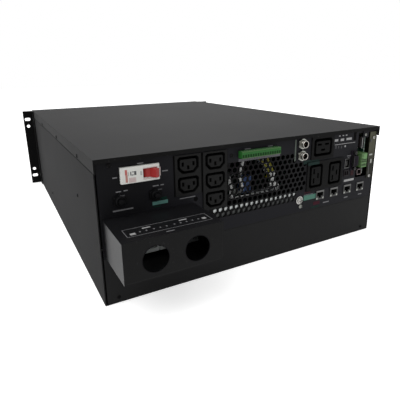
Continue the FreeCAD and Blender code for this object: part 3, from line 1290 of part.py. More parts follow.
def all_nodes():
    """Every sub-part by name."""
    nodes = {
        "chassis_tray": chassis_tray(),
        "top_cover": top_cover(),
        "rear_panel_upper": rear_panel_upper(),
        "vent_grille": vent_grille(),
        "jack_plate": jack_plate(),
        "rear_panel_lower": rear_panel_lower(),
        "mid_shelf": mid_shelf(),
        "rack_ears": rack_ears(),
        "breaker_body": breaker_body(),
        "breaker_toggle": breaker_toggle(),
        "reset_breaker_cases": reset_breaker_cases(),
        "panel_fittings": panel_fittings(),
        "reset_button_left": reset_button(RESET_X[0]),
        "reset_button_right": reset_button(RESET_X[1]),
        "terminal_cover_box": terminal_cover_box(),
        "terminal_blocks": terminal_blocks(),
        "terminal_clamps": terminal_clamps(),
        "outlet_strip_two": outlet_strip(STRIP_TWO_X, 2),
        "outlet_strip_three": outlet_strip(STRIP_THREE_X, 3),
        "large_outlet_single": large_outlet_frame(0),
        "large_outlet_pair": large_outlet_frame(1),
        "signal_terminal_header": signal_terminal_header(),
        "signal_terminal_plug": signal_terminal_plug(),
        "network_jacks": network_jacks(),
        "network_jack_inserts": network_jack_inserts(),
        "usb_socket": usb_socket(),
        "serial_socket": serial_socket(),
        "stop_socket": stop_socket(),
        "termination_block": termination_block(),
        "communications_board": communications_board(),
        "card_bracket": card_bracket(),
        "card_board": card_board(),
        "card_terminal": card_terminal(),
        "card_headers": card_headers(),
        "card_relay": card_relay(),
        "power_board": power_board(),
        "heatsinks": heatsinks(),
        "inductors": inductors(),
        "bus_capacitors": bus_capacitors(),
        "film_capacitor": film_capacitor(),
        "control_board": control_board(),
        "fan_frames": fan_frames(),
        "battery_trays": battery_trays(),
        "battery_blocks": battery_blocks(),
        "front_subpanel": front_subpanel(),
        "front_bezel": front_bezel(),
        "display_window": display_window(),
        "power_key": front_key(POWER_KEY_X),
    }
    for index in range(FAN_COUNT):
        nodes["fan_rotor_%d" % (index + 1)] = fan_rotor(index)
    for index, x in enumerate(MENU_KEYS):
        nodes["menu_key_%d" % (index + 1)] = front_key(x)
    return nodes


os.makedirs("parts", exist_ok=True)
for name, shape in all_nodes().items():
    shape.exportStep("parts/%s.step" % name)
    print(name, len(shape.Solids), round(shape.Volume), shape.isValid())
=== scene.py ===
import json
import math

import bpy
import numpy as np
from mathutils import Matrix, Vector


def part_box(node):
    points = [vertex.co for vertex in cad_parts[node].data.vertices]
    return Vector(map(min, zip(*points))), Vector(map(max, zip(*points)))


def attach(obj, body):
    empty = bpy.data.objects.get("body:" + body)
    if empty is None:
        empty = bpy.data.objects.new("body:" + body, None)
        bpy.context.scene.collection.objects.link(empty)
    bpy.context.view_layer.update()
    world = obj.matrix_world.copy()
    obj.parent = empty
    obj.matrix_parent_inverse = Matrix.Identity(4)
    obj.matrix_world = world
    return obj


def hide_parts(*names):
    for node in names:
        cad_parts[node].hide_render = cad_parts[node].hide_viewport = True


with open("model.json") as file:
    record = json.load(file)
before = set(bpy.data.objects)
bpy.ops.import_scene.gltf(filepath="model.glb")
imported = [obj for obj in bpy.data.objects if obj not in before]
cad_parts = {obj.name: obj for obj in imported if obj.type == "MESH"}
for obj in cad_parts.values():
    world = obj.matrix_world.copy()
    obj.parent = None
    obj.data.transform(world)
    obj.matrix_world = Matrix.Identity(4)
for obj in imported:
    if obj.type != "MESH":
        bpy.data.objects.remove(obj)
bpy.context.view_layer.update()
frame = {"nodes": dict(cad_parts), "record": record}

bl_info = {
    "name": "Rack power supply looks",
    "version": (1, 0, 0),
    "blender": (4, 5, 0),
    "location": "3D View > Sidebar > Power supply",
    "description": "Finishes, small fittings, print and stage for a rack-mount uninterruptible power supply",
    "category": "Object",
}

MM = 0.001
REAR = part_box("rear_panel_upper")[0][1] / MM

# Directions as seen from behind
BACKWARD = (0, -1, 0)
FORWARD = (0, 1, 0)
LEFTWARD = (-1, 0, 0)
RIGHTWARD = (1, 0, 0)
UPWARD = (0, 0, 1)

# Places on the rear in millimetres, from the middle and from the base
OUTLET_COLUMNS = {-111.2: (152.7, 128.6), -74.6: (152.7, 128.6, 104.5)}
JACK_CENTRES = (191.0, 162.4, 133.8, 105.2)
ROUND_SOCKETS = ((64.5, 142.9), (64.5, 159.6))
GROUND_SCREW = (65.2, 77.4)
CABLE_ENTRIES = ((-181.5, 81.0), (-135.2, 81.0))

# Sizes in millimetres
EAR_FACE = 222.0
RESET_NUT_HEIGHT = 3.0
WASHER_HEIGHT = 1.2
TAB_THICKNESS = 1.2
TERMINAL_COUNT = 16
TERMINAL_PITCH = 3.81
JACK_PIN_COUNT = 8
JACK_PIN_PITCH = 1.27
SERIAL_PIN_PITCH = 2.77
LIGHT_PITCH = 12.0

# How far print, plates and painted shadow strips stand off or go into the face that they lie on, in
# millimetres
PRINT_SINK = 0.05
PLATE_SINK = 0.1
SHADOW_STRIP_LIFT = 0.06

# The stage, in metres: the floor lies just under the base, so that their faces don't meet
FLOOR_HEIGHT = -0.0006
FLOOR_REACH = 6.0
FLOOR_GLOW = 0.55
LAMP_SIZE = 1.6
KEY_PLACE, KEY_TARGET = (-1.2, -0.6, 1.9), (0.0, 0.0, 0.05)
BACK_PLACE, BACK_TARGET = (0.9, 1.6, 1.4), (0.0, 0.0, 0.1)
BACK_SHARE = 0.5
WHITE = (1, 1, 1, 1)

# The photograph's camera: place in metres, turn in degrees, focal length and picture width in pixels,
# sensor width in millimetres and lens shift
CAMERA_PLACE = (-0.300774, -0.681971, 0.258783)
CAMERA_TURN = (73.897, 0.648, -29.074)
FOCAL_PIXELS = 380.26
PHOTO_PIXELS = 400.0
SENSOR_WIDTH = 36.0
CAMERA_SHIFT = (-0.01457, -0.05139)
NEAREST_SEEN = 0.01


# Shader expressions

class Wire:
    """A shader socket that can be used in sums; each step adds the Math node that does it."""

    def __init__(self, shader, socket):
        self.shader = shader
        self.socket = socket

    def _math(self, operation, first, second):
        return self.shader.node("ShaderNodeMath", {"operation": operation}, {0: first, 1: second})

    def __add__(self, other):
        return self._math("ADD", self, other)

    def __radd__(self, other):
        return self._math("ADD", other, self)

    def __sub__(self, other):
        return self._math("SUBTRACT", self, other)

    def __rsub__(self, other):
        return self._math("SUBTRACT", other, self)

    def __mul__(self, other):
        return self._math("MULTIPLY", self, other)

    def __rmul__(self, other):
        return self._math("MULTIPLY", other, self)

    def either(self, other):
        """The greater of the two."""
        return self._math("MAXIMUM", self, other)


class Shader:
    """The node tree of one material or world, filled by expressions."""

    def __init__(self, owner, surface, output):
        owner.use_nodes = True
        self.owner = owner
        self.tree = owner.node_tree
        self.tree.nodes.clear()
        self.surface = self.tree.nodes.new(surface)
        end = self.tree.nodes.new(output)
        self.tree.links.new(self.surface.outputs[0], end.inputs[0])

    def feed(self, socket, value):
        """Put a wire or a plain value on a socket."""
        if isinstance(value, Wire):
            self.tree.links.new(value.socket, socket)
        else:
            socket.default_value = value

    def node(self, kind, settings=None, inputs=None, output=0):
        """Any node, from its type, its settings and the values or wires of its sockets."""
        made = self.tree.nodes.new(kind)
        for key, value in (settings or {}).items():
            setattr(made, key, value)
        for key, value in (inputs or {}).items():
            self.feed(made.inputs[key], value)
        return Wire(self, made.outputs[output])

    def place(self):
        """The point's place on the object, in metres."""
        return self.node("ShaderNodeTexCoord", output="Object")

    def axis(self, index):
        """The point's X, Y or Z on the object, for 0, 1 or 2."""
        return self.node("ShaderNodeSeparateXYZ", None, {0: self.place()}, index)

    def noise(self, scale, detail=3.0, stretch=None):
        """Noise on the object's coordinates, about 0 to 1, stretched along some axes if asked."""
        place = self.place()
        if stretch:
            place = self.node("ShaderNodeVectorMath", {"operation": "MULTIPLY"}, {0: place, 1: stretch})
        return self.node("ShaderNodeTexNoise", None, {"Vector": place, "Scale": scale, "Detail": detail})

    def cells(self, scale):
        """Cell colours' grey value on the object's coordinates."""
        colour = self.node("ShaderNodeTexVoronoi", None, {"Vector": self.place(), "Scale": scale}, 1)
        return self.node("ShaderNodeSeparateColor", None, {0: colour})

    def ramp(self, factor, low, high):
        """0 below low, 1 above high, straight between."""
        return self.node("ShaderNodeMapRange", {"clamp": True},
                         {"Value": factor, "From Min": low, "From Max": high, "To Min": 0.0, "To Max": 1.0})

    def blend(self, factor, first, second):
        """A colour between two, by a factor."""
        return self.node("ShaderNodeMix", {"data_type": "RGBA"}, {0: factor, 6: first, 7: second}, 2)

    def shaded(self, base, colour, painted_shades):
        """A base colour taken to levels of a plain one: painted light and shade along the object's axes.
        Each painted shade is an axis, two places on it in millimetres and the level that is reached from the
        first place to the second."""
        for axis, start, end, level in painted_shades:
            reached = self.ramp(self.axis(axis), start * MM, end * MM)
            base = self.blend(reached, base, rgba(colour, level))
        return base

    def bump(self, height, distance, strength=1.0):
        """A bumped normal from a height in units of the distance, in metres."""
        return self.node("ShaderNodeBump", None,
                         {"Strength": strength, "Distance": distance, "Height": height})

    def seen(self):
        """1 for camera, glossy and transmission rays, which show the background, and 0 for the others."""
        rays = [self.node("ShaderNodeLightPath", output=name)
                for name in ("Is Camera Ray", "Is Glossy Ray", "Is Transmission Ray")]
        return rays[0].either(rays[1]).either(rays[2])

    def finish(self, **sockets):
        """Put values on the surface's sockets by name and return the material or world."""
        for name, value in sockets.items():
            self.feed(self.surface.inputs[name.replace("_", " ").title().replace("Ior", "IOR")], value)
        return self.owner


def material_shader(name):
    """A new material's tree, with one Principled node."""
    return Shader(bpy.data.materials.new(name), "ShaderNodeBsdfPrincipled", "ShaderNodeOutputMaterial")


def rgba(colour, level=1.0):
    """A colour with its alpha, made lighter or darker by a level."""
    return [min(c * level, 1.0) for c in colour] + [1.0]


# Finishes

def powder_coat(name, colour, roughness=0.5, gloss=0.5, *painted_shades):
    """Textured powder coat: a fine orange peel, faint clouding and specks of dust, with painted light and
    shade along axes where painted shades are given.
    """
    s = material_shader(name)
    clouds = s.noise(9.0, 4.0)
    peel = s.noise(900.0, 2.0)
    dust = s.ramp(s.noise(420.0, 1.0), 0.70, 0.78)
    paint = s.shaded(s.blend(clouds, rgba(colour, 0.86), rgba(colour, 1.16)), colour, painted_shades)
    speck = rgba([c + 0.008 for c in colour], 1.2)
    return s.finish(base_color=s.blend(dust * 0.5, paint, speck), specular_ior_level=gloss,
                    roughness=roughness + clouds * 0.10 - peel * 0.06, normal=s.bump(peel, 0.00006))


def zinc_plate(name, colour, *painted_shades):
    """Zinc-plated sheet: spangle cells, a rolled grain along Y and dull patches, with painted shade along
    axes where painted shades are given.
    """
    s = material_shader(name)
    spangle = s.cells(160.0)
    grain = s.noise(60.0, 3.0, (1.0, 0.05, 1.0))
    tone = s.blend(spangle * 0.5 + grain * 0.5, rgba(colour, 0.78), rgba(colour, 1.18))
    return s.finish(base_color=s.shaded(tone, colour, painted_shades), metallic=1.0,
                    roughness=0.30 + grain * 0.18 + spangle * 0.06, normal=s.bump(grain, 0.00004))


def bright_plate(name, colour, roughness=0.2):
    """Nickel or tin plate: nearly smooth, with fine turning marks and small stains."""
    s = material_shader(name)
    turning = s.noise(1500.0, 2.0, (1.0, 0.1, 1.0))
    stain = s.noise(120.0, 3.0)
    return s.finish(base_color=s.blend(s.ramp(stain, 0.55, 0.8) * 0.5, rgba(colour), rgba(colour, 0.6)),
                    metallic=1.0, roughness=roughness + turning * 0.12,
                    normal=s.bump(turning, 0.00002))


def moulding(name, colour, roughness=0.45, gloss=0.5):
    """Moulded plastic: a fine spark-eroded grain with slight shade changes."""
    s = material_shader(name)
    grain = s.noise(1400.0, 2.0)
    shade = s.noise(35.0, 3.0)
    return s.finish(base_color=s.blend(shade, rgba(colour, 0.88), rgba(colour, 1.14)),
                    specular_ior_level=gloss, roughness=roughness + grain * 0.12,
                    normal=s.bump(grain, 0.00003))


def circuit_mask(name, colour):
    """Circuit board: solder mask over tracks, with rows of tinned pads."""
    s = material_shader(name)
    x, y, z = [s.axis(index) for index in range(3)]
    plane = s.node("ShaderNodeCombineXYZ", None, {0: y + x, 1: z + x * 0.5})
    tracks = s.node("ShaderNodeTexBrick", {"offset": 0.37},
                    {"Vector": plane, "Scale": 90.0, "Mortar Size": 0.035, "Color1": (0, 0, 0, 1),
                     "Color2": (0.3, 0.3, 0.3, 1), "Mortar": WHITE}, 1)
    dots = s.node("ShaderNodeTexVoronoi", {"feature": "F1"}, {"Vector": s.place(), "Scale": 260.0})
    pads = s.ramp(dots, 0.24, 0.18)
    mask = s.blend(tracks, rgba(colour, 0.8), rgba(colour, 1.7))
    return s.finish(base_color=s.blend(pads * 0.6, mask, rgba((0.6, 0.58, 0.5))),
                    roughness=0.34 + pads * 0.1, normal=s.bump(tracks, 0.00005))


def drawn_aluminium(name, colour):
    """Extruded aluminium with draw lines along Y."""
    s = material_shader(name)
    lines = s.noise(700.0, 2.0, (1.0, 0.01, 1.0))
    return s.finish(base_color=s.blend(lines, rgba(colour, 0.85), rgba(colour, 1.12)), metallic=1.0,
                    roughness=0.32 + lines * 0.16, normal=s.bump(lines, 0.00004))


def wound_core(name, colour):
    """Ferrite and varnished winding, whose turns of wire show as fine rings up Z."""
    s = material_shader(name)
    turns = s.node("ShaderNodeMath", {"operation": "SINE"}, {0: s.axis(2) * 3600.0})
    varnish = s.noise(80.0, 3.0)
    return s.finish(base_color=s.blend(varnish, rgba(colour), rgba((0.16, 0.07, 0.03))),
                    roughness=0.4 + varnish * 0.2, normal=s.bump(turns * 0.5, 0.0002))


def smoked_glass(name, colour):
    """Smoked window: deep, coated against glare and slightly hazed by fine wipe marks."""
    s = material_shader(name)
    wipe = s.noise(260.0, 3.0, (0.2, 1.0, 1.0))
    return s.finish(base_color=s.blend(wipe, rgba(colour, 0.8), rgba(colour, 1.3)),
                    specular_ior_level=0.08, roughness=0.08 + wipe * 0.08)


def print_ink(name, colour, gloss=0.5):
    """Screen-printed ink: slightly broken at its edges and matt."""
    s = material_shader(name)
    gaps = s.ramp(s.noise(1800.0, 2.0), 0.30, 0.42)
    return s.finish(base_color=s.blend(gaps * 0.9, rgba(colour, 0.45), rgba(colour)),
                    specular_ior_level=gloss, roughness=0.62, normal=s.bump(gaps, 0.00002))


# Finishes by their function: each one's colour and the function's own values
FINISHES = {
    powder_coat: {
        "casing_paint": ((0.0115, 0.0115, 0.0118), 0.72, 0.07),
        # The lid: the casing's black painted lighter, standing in for light from above, with painted shade
        # on the side flanges beyond x ±219 mm and a painted shadow on the rear lip
        "lid_paint": ((0.0200, 0.0200, 0.0203), 0.72, 0.10, (0, -219.0, -219.7, 0.75),
                      (0, 219.0, 219.7, 0.75), (1, REAR - 3.2, REAR - 3.5, 0.11)),
        "ear_paint": ((0.0022, 0.0022, 0.0023), 0.6, 0.06),
        # Painted light: the panel 2.4 times lighter from x -125 mm rightwards than at its left end
        "panel_paint": ((0.0032, 0.0032, 0.0040), 0.6, 0.09, (0, -172.0, -125.0, 2.4)),
        "low_panel_paint": ((0.0085, 0.0085, 0.0087), 0.62, 0.10),
        # Painted light: the grille 4 times lighter from x 50 mm rightwards
        "grille_paint": ((0.0028, 0.0028, 0.0030), 0.65, 0.07, (0, 5.0, 50.0, 4.0)),
        # Painted shade: the box's front face darkened to 0.15
        "box_paint": ((0.0060, 0.0060, 0.0068), 0.35, 0.10, (1, -363.2, -363.45, 0.15)),
        # Painted shade: the terminal blocks right of x -150 mm darkened to a tenth
        "block_plastic": ((0.80, 0.84, 0.82), 0.5, 0.4, (0, -160.0, -150.0, 0.10)),
    },
    zinc_plate: {
        "plated_steel": ((0.62, 0.63, 0.62),),
        # Painted shade: the shelf darker above z 89.4 mm and below z 83.5 mm, leaving a lit band at its hole
        # row
        "shelf_steel": ((0.35, 0.365, 0.36), (2, 88.4, 89.4, 0.2), (2, 84.5, 83.5, 0.12)),
        # Painted shade: the bracket darker downwards, to a fifth from z 110 mm down
        "bracket_steel": ((0.050, 0.050, 0.034), (2, 140.0, 110.0, 0.2)),
    },
    bright_plate: {
        "nickel": ((0.34, 0.335, 0.32),),
        "grey_nickel": ((0.24, 0.245, 0.225), 0.3),
        # Plated parts, and the painted highlight on the bracket's fold
        "soft_nickel": ((0.10, 0.10, 0.098), 0.35),
        "dull_nickel": ((0.052, 0.052, 0.051), 0.4),
        "bright_nickel": ((0.42, 0.40, 0.37), 0.2),
        "brass": ((0.42, 0.30, 0.11),),
        "dark_brass": ((0.070, 0.042, 0.022), 0.4),
    },
    moulding: {
        "outlet_black": ((0.0032, 0.0032, 0.0032), 0.5, 0.06),
        "black_moulding": ((0.0080, 0.0080, 0.0080), 0.5, 0.08),
        "white_moulding": ((0.59, 0.59, 0.56),),
        "grey_moulding": ((0.42, 0.44, 0.42),),
        "toggle_red": ((0.27, 0.008, 0.007), 0.38, 0.35),
        "button_black": ((0.0022, 0.0022, 0.0026), 0.5, 0.07),
        "terminal_green": ((0.017, 0.105, 0.018), 0.5, 0.25),
        "dark_green_moulding": ((0.003, 0.022, 0.003), 0.5, 0.1),
        # Painted light on the card terminal's ribs and face
        "light_green": ((0.13, 0.26, 0.10), 0.5, 0.25),
        "pale_green": ((0.060, 0.115, 0.042), 0.5, 0.25),
        "serial_blue": ((0.009, 0.007, 0.011), 0.5, 0.06),
        "socket_grey": ((0.012, 0.010, 0.011), 0.5, 0.08),
        "block_red": ((0.026, 0.009, 0.011), 0.5, 0.06),
        "status_light": ((0.34, 0.35, 0.32), 0.3),
        "header_white": ((0.014, 0.011, 0.011), 0.5, 0.1),
        "relay_blue": ((0.050, 0.060, 0.120),),
        "capacitor_blue": ((0.20, 0.30, 0.62), 0.4, 0.2),
        "can_sleeve": ((0.02, 0.02, 0.03), 0.25),
        "battery_case": ((0.06, 0.06, 0.065),),
        "fan_plastic": ((0.012, 0.012, 0.012),),
        "bezel_plastic": ((0.010, 0.010, 0.011), 0.55, 0.2),
        "key_plastic": ((0.05, 0.05, 0.055), 0.4),
        "pale_sheath": ((0.80, 0.81, 0.80), 0.35),
        "dim_sheath": ((0.15, 0.16, 0.15), 0.4),
        "yellow_sheath": ((0.24, 0.22, 0.012), 0.4),
        "shadow_black": ((0.002, 0.002, 0.002), 0.8, 0.05),
    },
    circuit_mask: {
        "circuit_board": ((0.006, 0.030, 0.018),),
    },
    drawn_aluminium: {
        "aluminium": ((0.60, 0.60, 0.61),),
    },
    wound_core: {
        "ferrite": ((0.03, 0.03, 0.03),),
    },
    smoked_glass: {
        "display_glass": ((0.010, 0.012, 0.014),),
    },
    print_ink: {
        "pale_ink": ((0.30, 0.30, 0.30),),
        "dim_ink": ((0.13, 0.13, 0.135),),
        # Print, and the painted highlights on the reset nuts
        "faint_ink": ((0.050, 0.050, 0.053), 0.2),
        # Painted highlights on edges and bends
        "bend_ink": ((0.013, 0.013, 0.013), 0.08),
        "teal_ink": ((0.030, 0.128, 0.090),),
        "grey_teal_ink": ((0.058, 0.165, 0.142),),
        "dark_teal_ink": ((0.008, 0.021, 0.018), 0.08),
        "deep_green_ink": ((0.0015, 0.020, 0.013), 0.08),
        "rose_grey_ink": ((0.17, 0.125, 0.125),),
        # Print, and the painted highlight on a label's top edge
        "label_ink": ((0.074, 0.072, 0.084),),
        "strip_ink": ((0.060, 0.078, 0.062),),
        "red_ink": ((0.42, 0.10, 0.09),),
        "soft_red_ink": ((0.42, 0.19, 0.16),),
        "maroon_ink": ((0.037, 0.005, 0.011), 0.08),
        "rose_ink": ((0.50, 0.40, 0.39),),
        "grey_ink": ((0.33, 0.34, 0.33),),
        "dark_ink": ((0.05, 0.05, 0.055),),
    },
}

# Nodes whose look departs from their slot's
OWN_FINISH = {"top_cover": "lid_paint", "rack_ears": "ear_paint", "rear_panel_lower": "low_panel_paint",
              "vent_grille": "grille_paint", "terminal_cover_box": "box_paint", "mid_shelf": "shelf_steel",
              "network_jacks": "dull_nickel", "terminal_blocks": "block_plastic",
              "large_outlet_single": "outlet_black", "large_outlet_pair": "outlet_black",
              "usb_socket": "dull_nickel", "card_terminal": "pale_green"}

# Materials that have been made, by finish
_made = {}


def finish(slot):
    """The material of a finish, made once."""
    if slot not in _made:
        kind = next(kind for kind, rows in FINISHES.items() if slot in rows)
        _made[slot] = kind(slot + "_finish", *FINISHES[kind][slot])
    return _made[slot]


# Surfaces

def piece(name, points, faces, slot, body="casing"):
    """A new closed mesh object, from an array of points in millimetres, that rides on a body."""
    mesh = bpy.data.meshes.new(name)
    mesh.from_pydata((points * MM).tolist(), [], faces)
    mesh.validate()
    mesh.update()
    made = bpy.data.objects.new(name, mesh)
    bpy.context.scene.collection.objects.link(made)
    mesh.materials.append(finish(slot))
    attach(made, body)
    return made


# A plate's corners, as picks between its low and high ends, and its sides with their faces outwards
CORNERS = np.array([[0, 0, 0], [1, 0, 0], [1, 1, 0], [0, 1, 0], [0, 0, 1], [1, 0, 1], [1, 1, 1], [0, 1, 1]])
SIDES = np.array([[0, 3, 2, 1], [4, 5, 6, 7], [0, 1, 5, 4], [1, 2, 6, 5], [2, 3, 7, 6], [3, 0, 4, 7]])


def plates(name, boxes, slot):
    """Many small plates in one mesh. Each box is (x0, x1, y0, y1, z0, z1), and a corner is
    low + pick * (high - low)."""
    rows = np.asarray(boxes, dtype=float)
    low, high = rows[:, 0::2], rows[:, 1::2]
    points = low[:, None, :] + CORNERS[None, :, :] * (high - low)[:, None, :]
    faces = (SIDES[None, :, :] + 8 * np.arange(len(rows))[:, None, None]).reshape(-1, 4)
    return piece(name, points.reshape(-1, 3), faces.tolist(), slot)


def slabs(rows, low, high):
    """Boxes for plates, from (x, z, width, height) and two places along Y."""
    return [(x - w / 2, x + w / 2, low, high, z - h / 2, z + h / 2) for x, z, w, h in rows]


def marks(rows, lift, face=REAR):
    """Boxes for print that stands off a rear face by a lift, from (x, z, width, height)."""
    return slabs(rows, face - lift, face + PRINT_SINK)


def forms(name, grids, slot, body, degrees, loop=False):
    """One piece from a stack of like forms, each a stack of rings of points. In a loop a form's last ring
    meets its first; otherwise a disc closes each end. Faces are shaded smooth where they meet at less than
    an angle."""
    count, rings, steps = grids.shape[:3]
    ring = np.arange(rings if loop else rings - 1)[:, None]
    low, high = ring * steps, (ring + 1) % rings * steps
    here = np.arange(steps)[None, :]
    there = (here + 1) % steps
    quads = np.stack([low + here, low + there, high + there, high + here], axis=-1).reshape(-1, 4)
    faces = []
    for base in np.arange(count) * rings * steps:
        faces += (quads + base).tolist()
        if not loop:
            disc = np.arange(steps) + base
            faces += [disc[::-1].tolist(), (disc + (rings - 1) * steps).tolist()]
    made = piece(name, grids.reshape(-1, 3), faces, slot, body)
    made.data.polygons.foreach_set("use_smooth", np.ones(len(faces), dtype=bool))
    made.data.set_sharp_from_angle(angle=math.radians(degrees))
    return made


def turned(name, profile, centres, axis, slot, body="casing", steps=28, shape=None, degrees=35.0,
           loop=False):
    """One piece made of like turned forms: point = centre + axis * height + (side * cos t + up * sin t) *
    radius, for each angle t round the axis. The profile's (radius, height) rows go from the foot, up the
    outside and in over the top, and a shape function may change them by angle."""
    axis = np.asarray(axis, float)
    side = np.array([1.0, 0, 0]) if abs(axis[0]) < 0.5 else np.array([0, 1.0, 0])
    turn = np.arange(steps) * 2 * math.pi / steps
    spokes = np.cos(turn)[:, None] * side + np.sin(turn)[:, None] * np.cross(axis, side)
    rows = np.asarray(profile, float)
    radius = np.repeat(rows[:, :1], steps, axis=1)
    height = np.repeat(rows[:, 1:], steps, axis=1)
    if shape:
        radius, height = shape(radius, height, turn[None, :])
    form = height[..., None] * axis + radius[..., None] * spokes
    grids = np.asarray(centres, float)[:, None, None, :] + form
    return forms(name, grids, slot, body, degrees, loop)


def hexagon(inner, flat):
    """A shape that cuts what lies outside an inner radius to a hexagon: radius <= flat / cos(angle off a
    flat)."""
    def shape(radius, height, turn):
        sector = (turn + math.pi / 6) % (math.pi / 3) - math.pi / 6
        return np.where(radius > inner, np.minimum(radius, flat / np.cos(sector)), radius), height
    return shape


def thread(radius, low, high, turns, depth):
    """Profile rows of a thread: the radius drops by a depth in every second row between two heights."""
    rows = np.arange(2 * turns + 1)
    return [(radius - depth * (k % 2), low + (high - low) * k / (2 * turns)) for k in rows]


def cross_recess(depth, arm, reach):
    """A shape for a screw's crown: the height drops by a depth inside a cross, whose arms have a half width
    and a reach."""
    def shape(radius, height, turn):
        across, along = np.abs(radius * np.cos(turn)), np.abs(radius * np.sin(turn))
        near, far = np.minimum(across, along), np.maximum(across, along)
        inside = (near < arm) & (far < reach) & (height > 0)
        return radius, np.where(inside, height - depth, height)
    return shape


def screw_profile(radius, height):
    """A pan head from its rim up and in over its crown, whose height at r is
    height * (0.45 + 0.55 * (1 - (r / radius) ^ 4))."""
    crown = np.linspace(0.97, 0.02, 9) * radius
    rows = [(radius, -0.1), (radius, height * 0.35)]
    return rows + [(r, height * (0.45 + 0.55 * (1 - (r / radius) ** 4))) for r in crown]


def screws(name, places, axis, radius, height, slot="nickel"):
    """Pan-head screws with a cross recess, standing on the face that the axis leaves."""
    recess = cross_recess(height * 0.5, radius * 0.17, radius * 0.62)
    profile = screw_profile(radius, height)
    return turned(name, profile, places, axis, slot, steps=32, shape=recess, degrees=40.0)


def tube(name, paths, radius, slot, sides=10, runs=40):
    """Tubes along smooth paths. Each path is a Catmull-Rom curve through its points, sampled as a whole
    array; a tube point is curve + (normal * cos t + binormal * sin t) * radius."""
    turn = np.arange(sides) * 2 * math.pi / sides
    grids = []
    for path in paths:
        p = np.asarray(path, float)
        p = np.vstack([2 * p[0] - p[1], p, 2 * p[-1] - p[-2]])
        t = np.linspace(0, len(p) - 3 - 1e-9, runs)
        i = t.astype(int)
        u = (t - i)[:, None]
        a, b, c, d = p[i], p[i + 1], p[i + 2], p[i + 3]
        square, cube = 2 * a - 5 * b + 4 * c - d, 3 * b - a - 3 * c + d
        curve = 0.5 * (2 * b + (c - a) * u + square * u ** 2 + cube * u ** 3)
        heading = np.gradient(curve, axis=0)
        heading /= np.linalg.norm(heading, axis=1)[:, None]
        normal = np.cross(heading, np.array([1.0, 0.15, 0.05]))
        normal /= np.linalg.norm(normal, axis=1)[:, None]
        binormal = np.cross(heading, normal)
        spokes = (np.cos(turn)[None, :, None] * normal[:, None, :]
                  + np.sin(turn)[None, :, None] * binormal[:, None, :])
        grids.append(curve[:, None, :] + radius * spokes)
    return forms(name, np.array(grids), slot, "casing", 60.0)


def middle(node):
    """The middle of a CAD node's box in millimetres."""
    low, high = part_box(node)
    return [(a + b) / 2 / MM for a, b in zip(low, high)]


def edges(node):
    """The edges of a CAD node's box in millimetres: x0, x1, y0, y1, z0, z1."""
    low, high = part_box(node)
    return [v / MM for pair in zip(low, high) for v in pair]


# Settings

class PowerSupplyPrint(bpy.types.PropertyGroup):
    """Print and labels."""
    lift: bpy.props.FloatProperty(name="Ink lift", default=0.12, min=0.02, max=0.5,
                                  description="How far print stands off its face, in millimetres")


class PowerSupplyFittings(bpy.types.PropertyGroup):
    """Small fittings."""
    screw_radius: bpy.props.FloatProperty(name="Screw radius", default=2.6, min=1.0, max=5.0,
                                          description="Radius of a panel screw's head, in millimetres")
    cable_radius: bpy.props.FloatProperty(name="Cable radius", default=1.9, min=0.5, max=4.0,
                                          description="Radius of an inner cable, in millimetres")


class PowerSupplyStage(bpy.types.PropertyGroup):
    """Light and floor."""
    key_power: bpy.props.FloatProperty(name="Key light", default=22.0, min=0.0, subtype="POWER",
                                       description="Power of the light above the left side")
    fill: bpy.props.FloatProperty(name="Fill", default=0.8, min=0.0, subtype="FACTOR",
                                  description="Level of the even light all round")
    floor_colour: bpy.props.FloatVectorProperty(name="Floor", default=(0.9, 0.9, 0.9), size=3, min=0.0,
                                                max=1.0, subtype="COLOR",
                                                description="Colour of the floor")


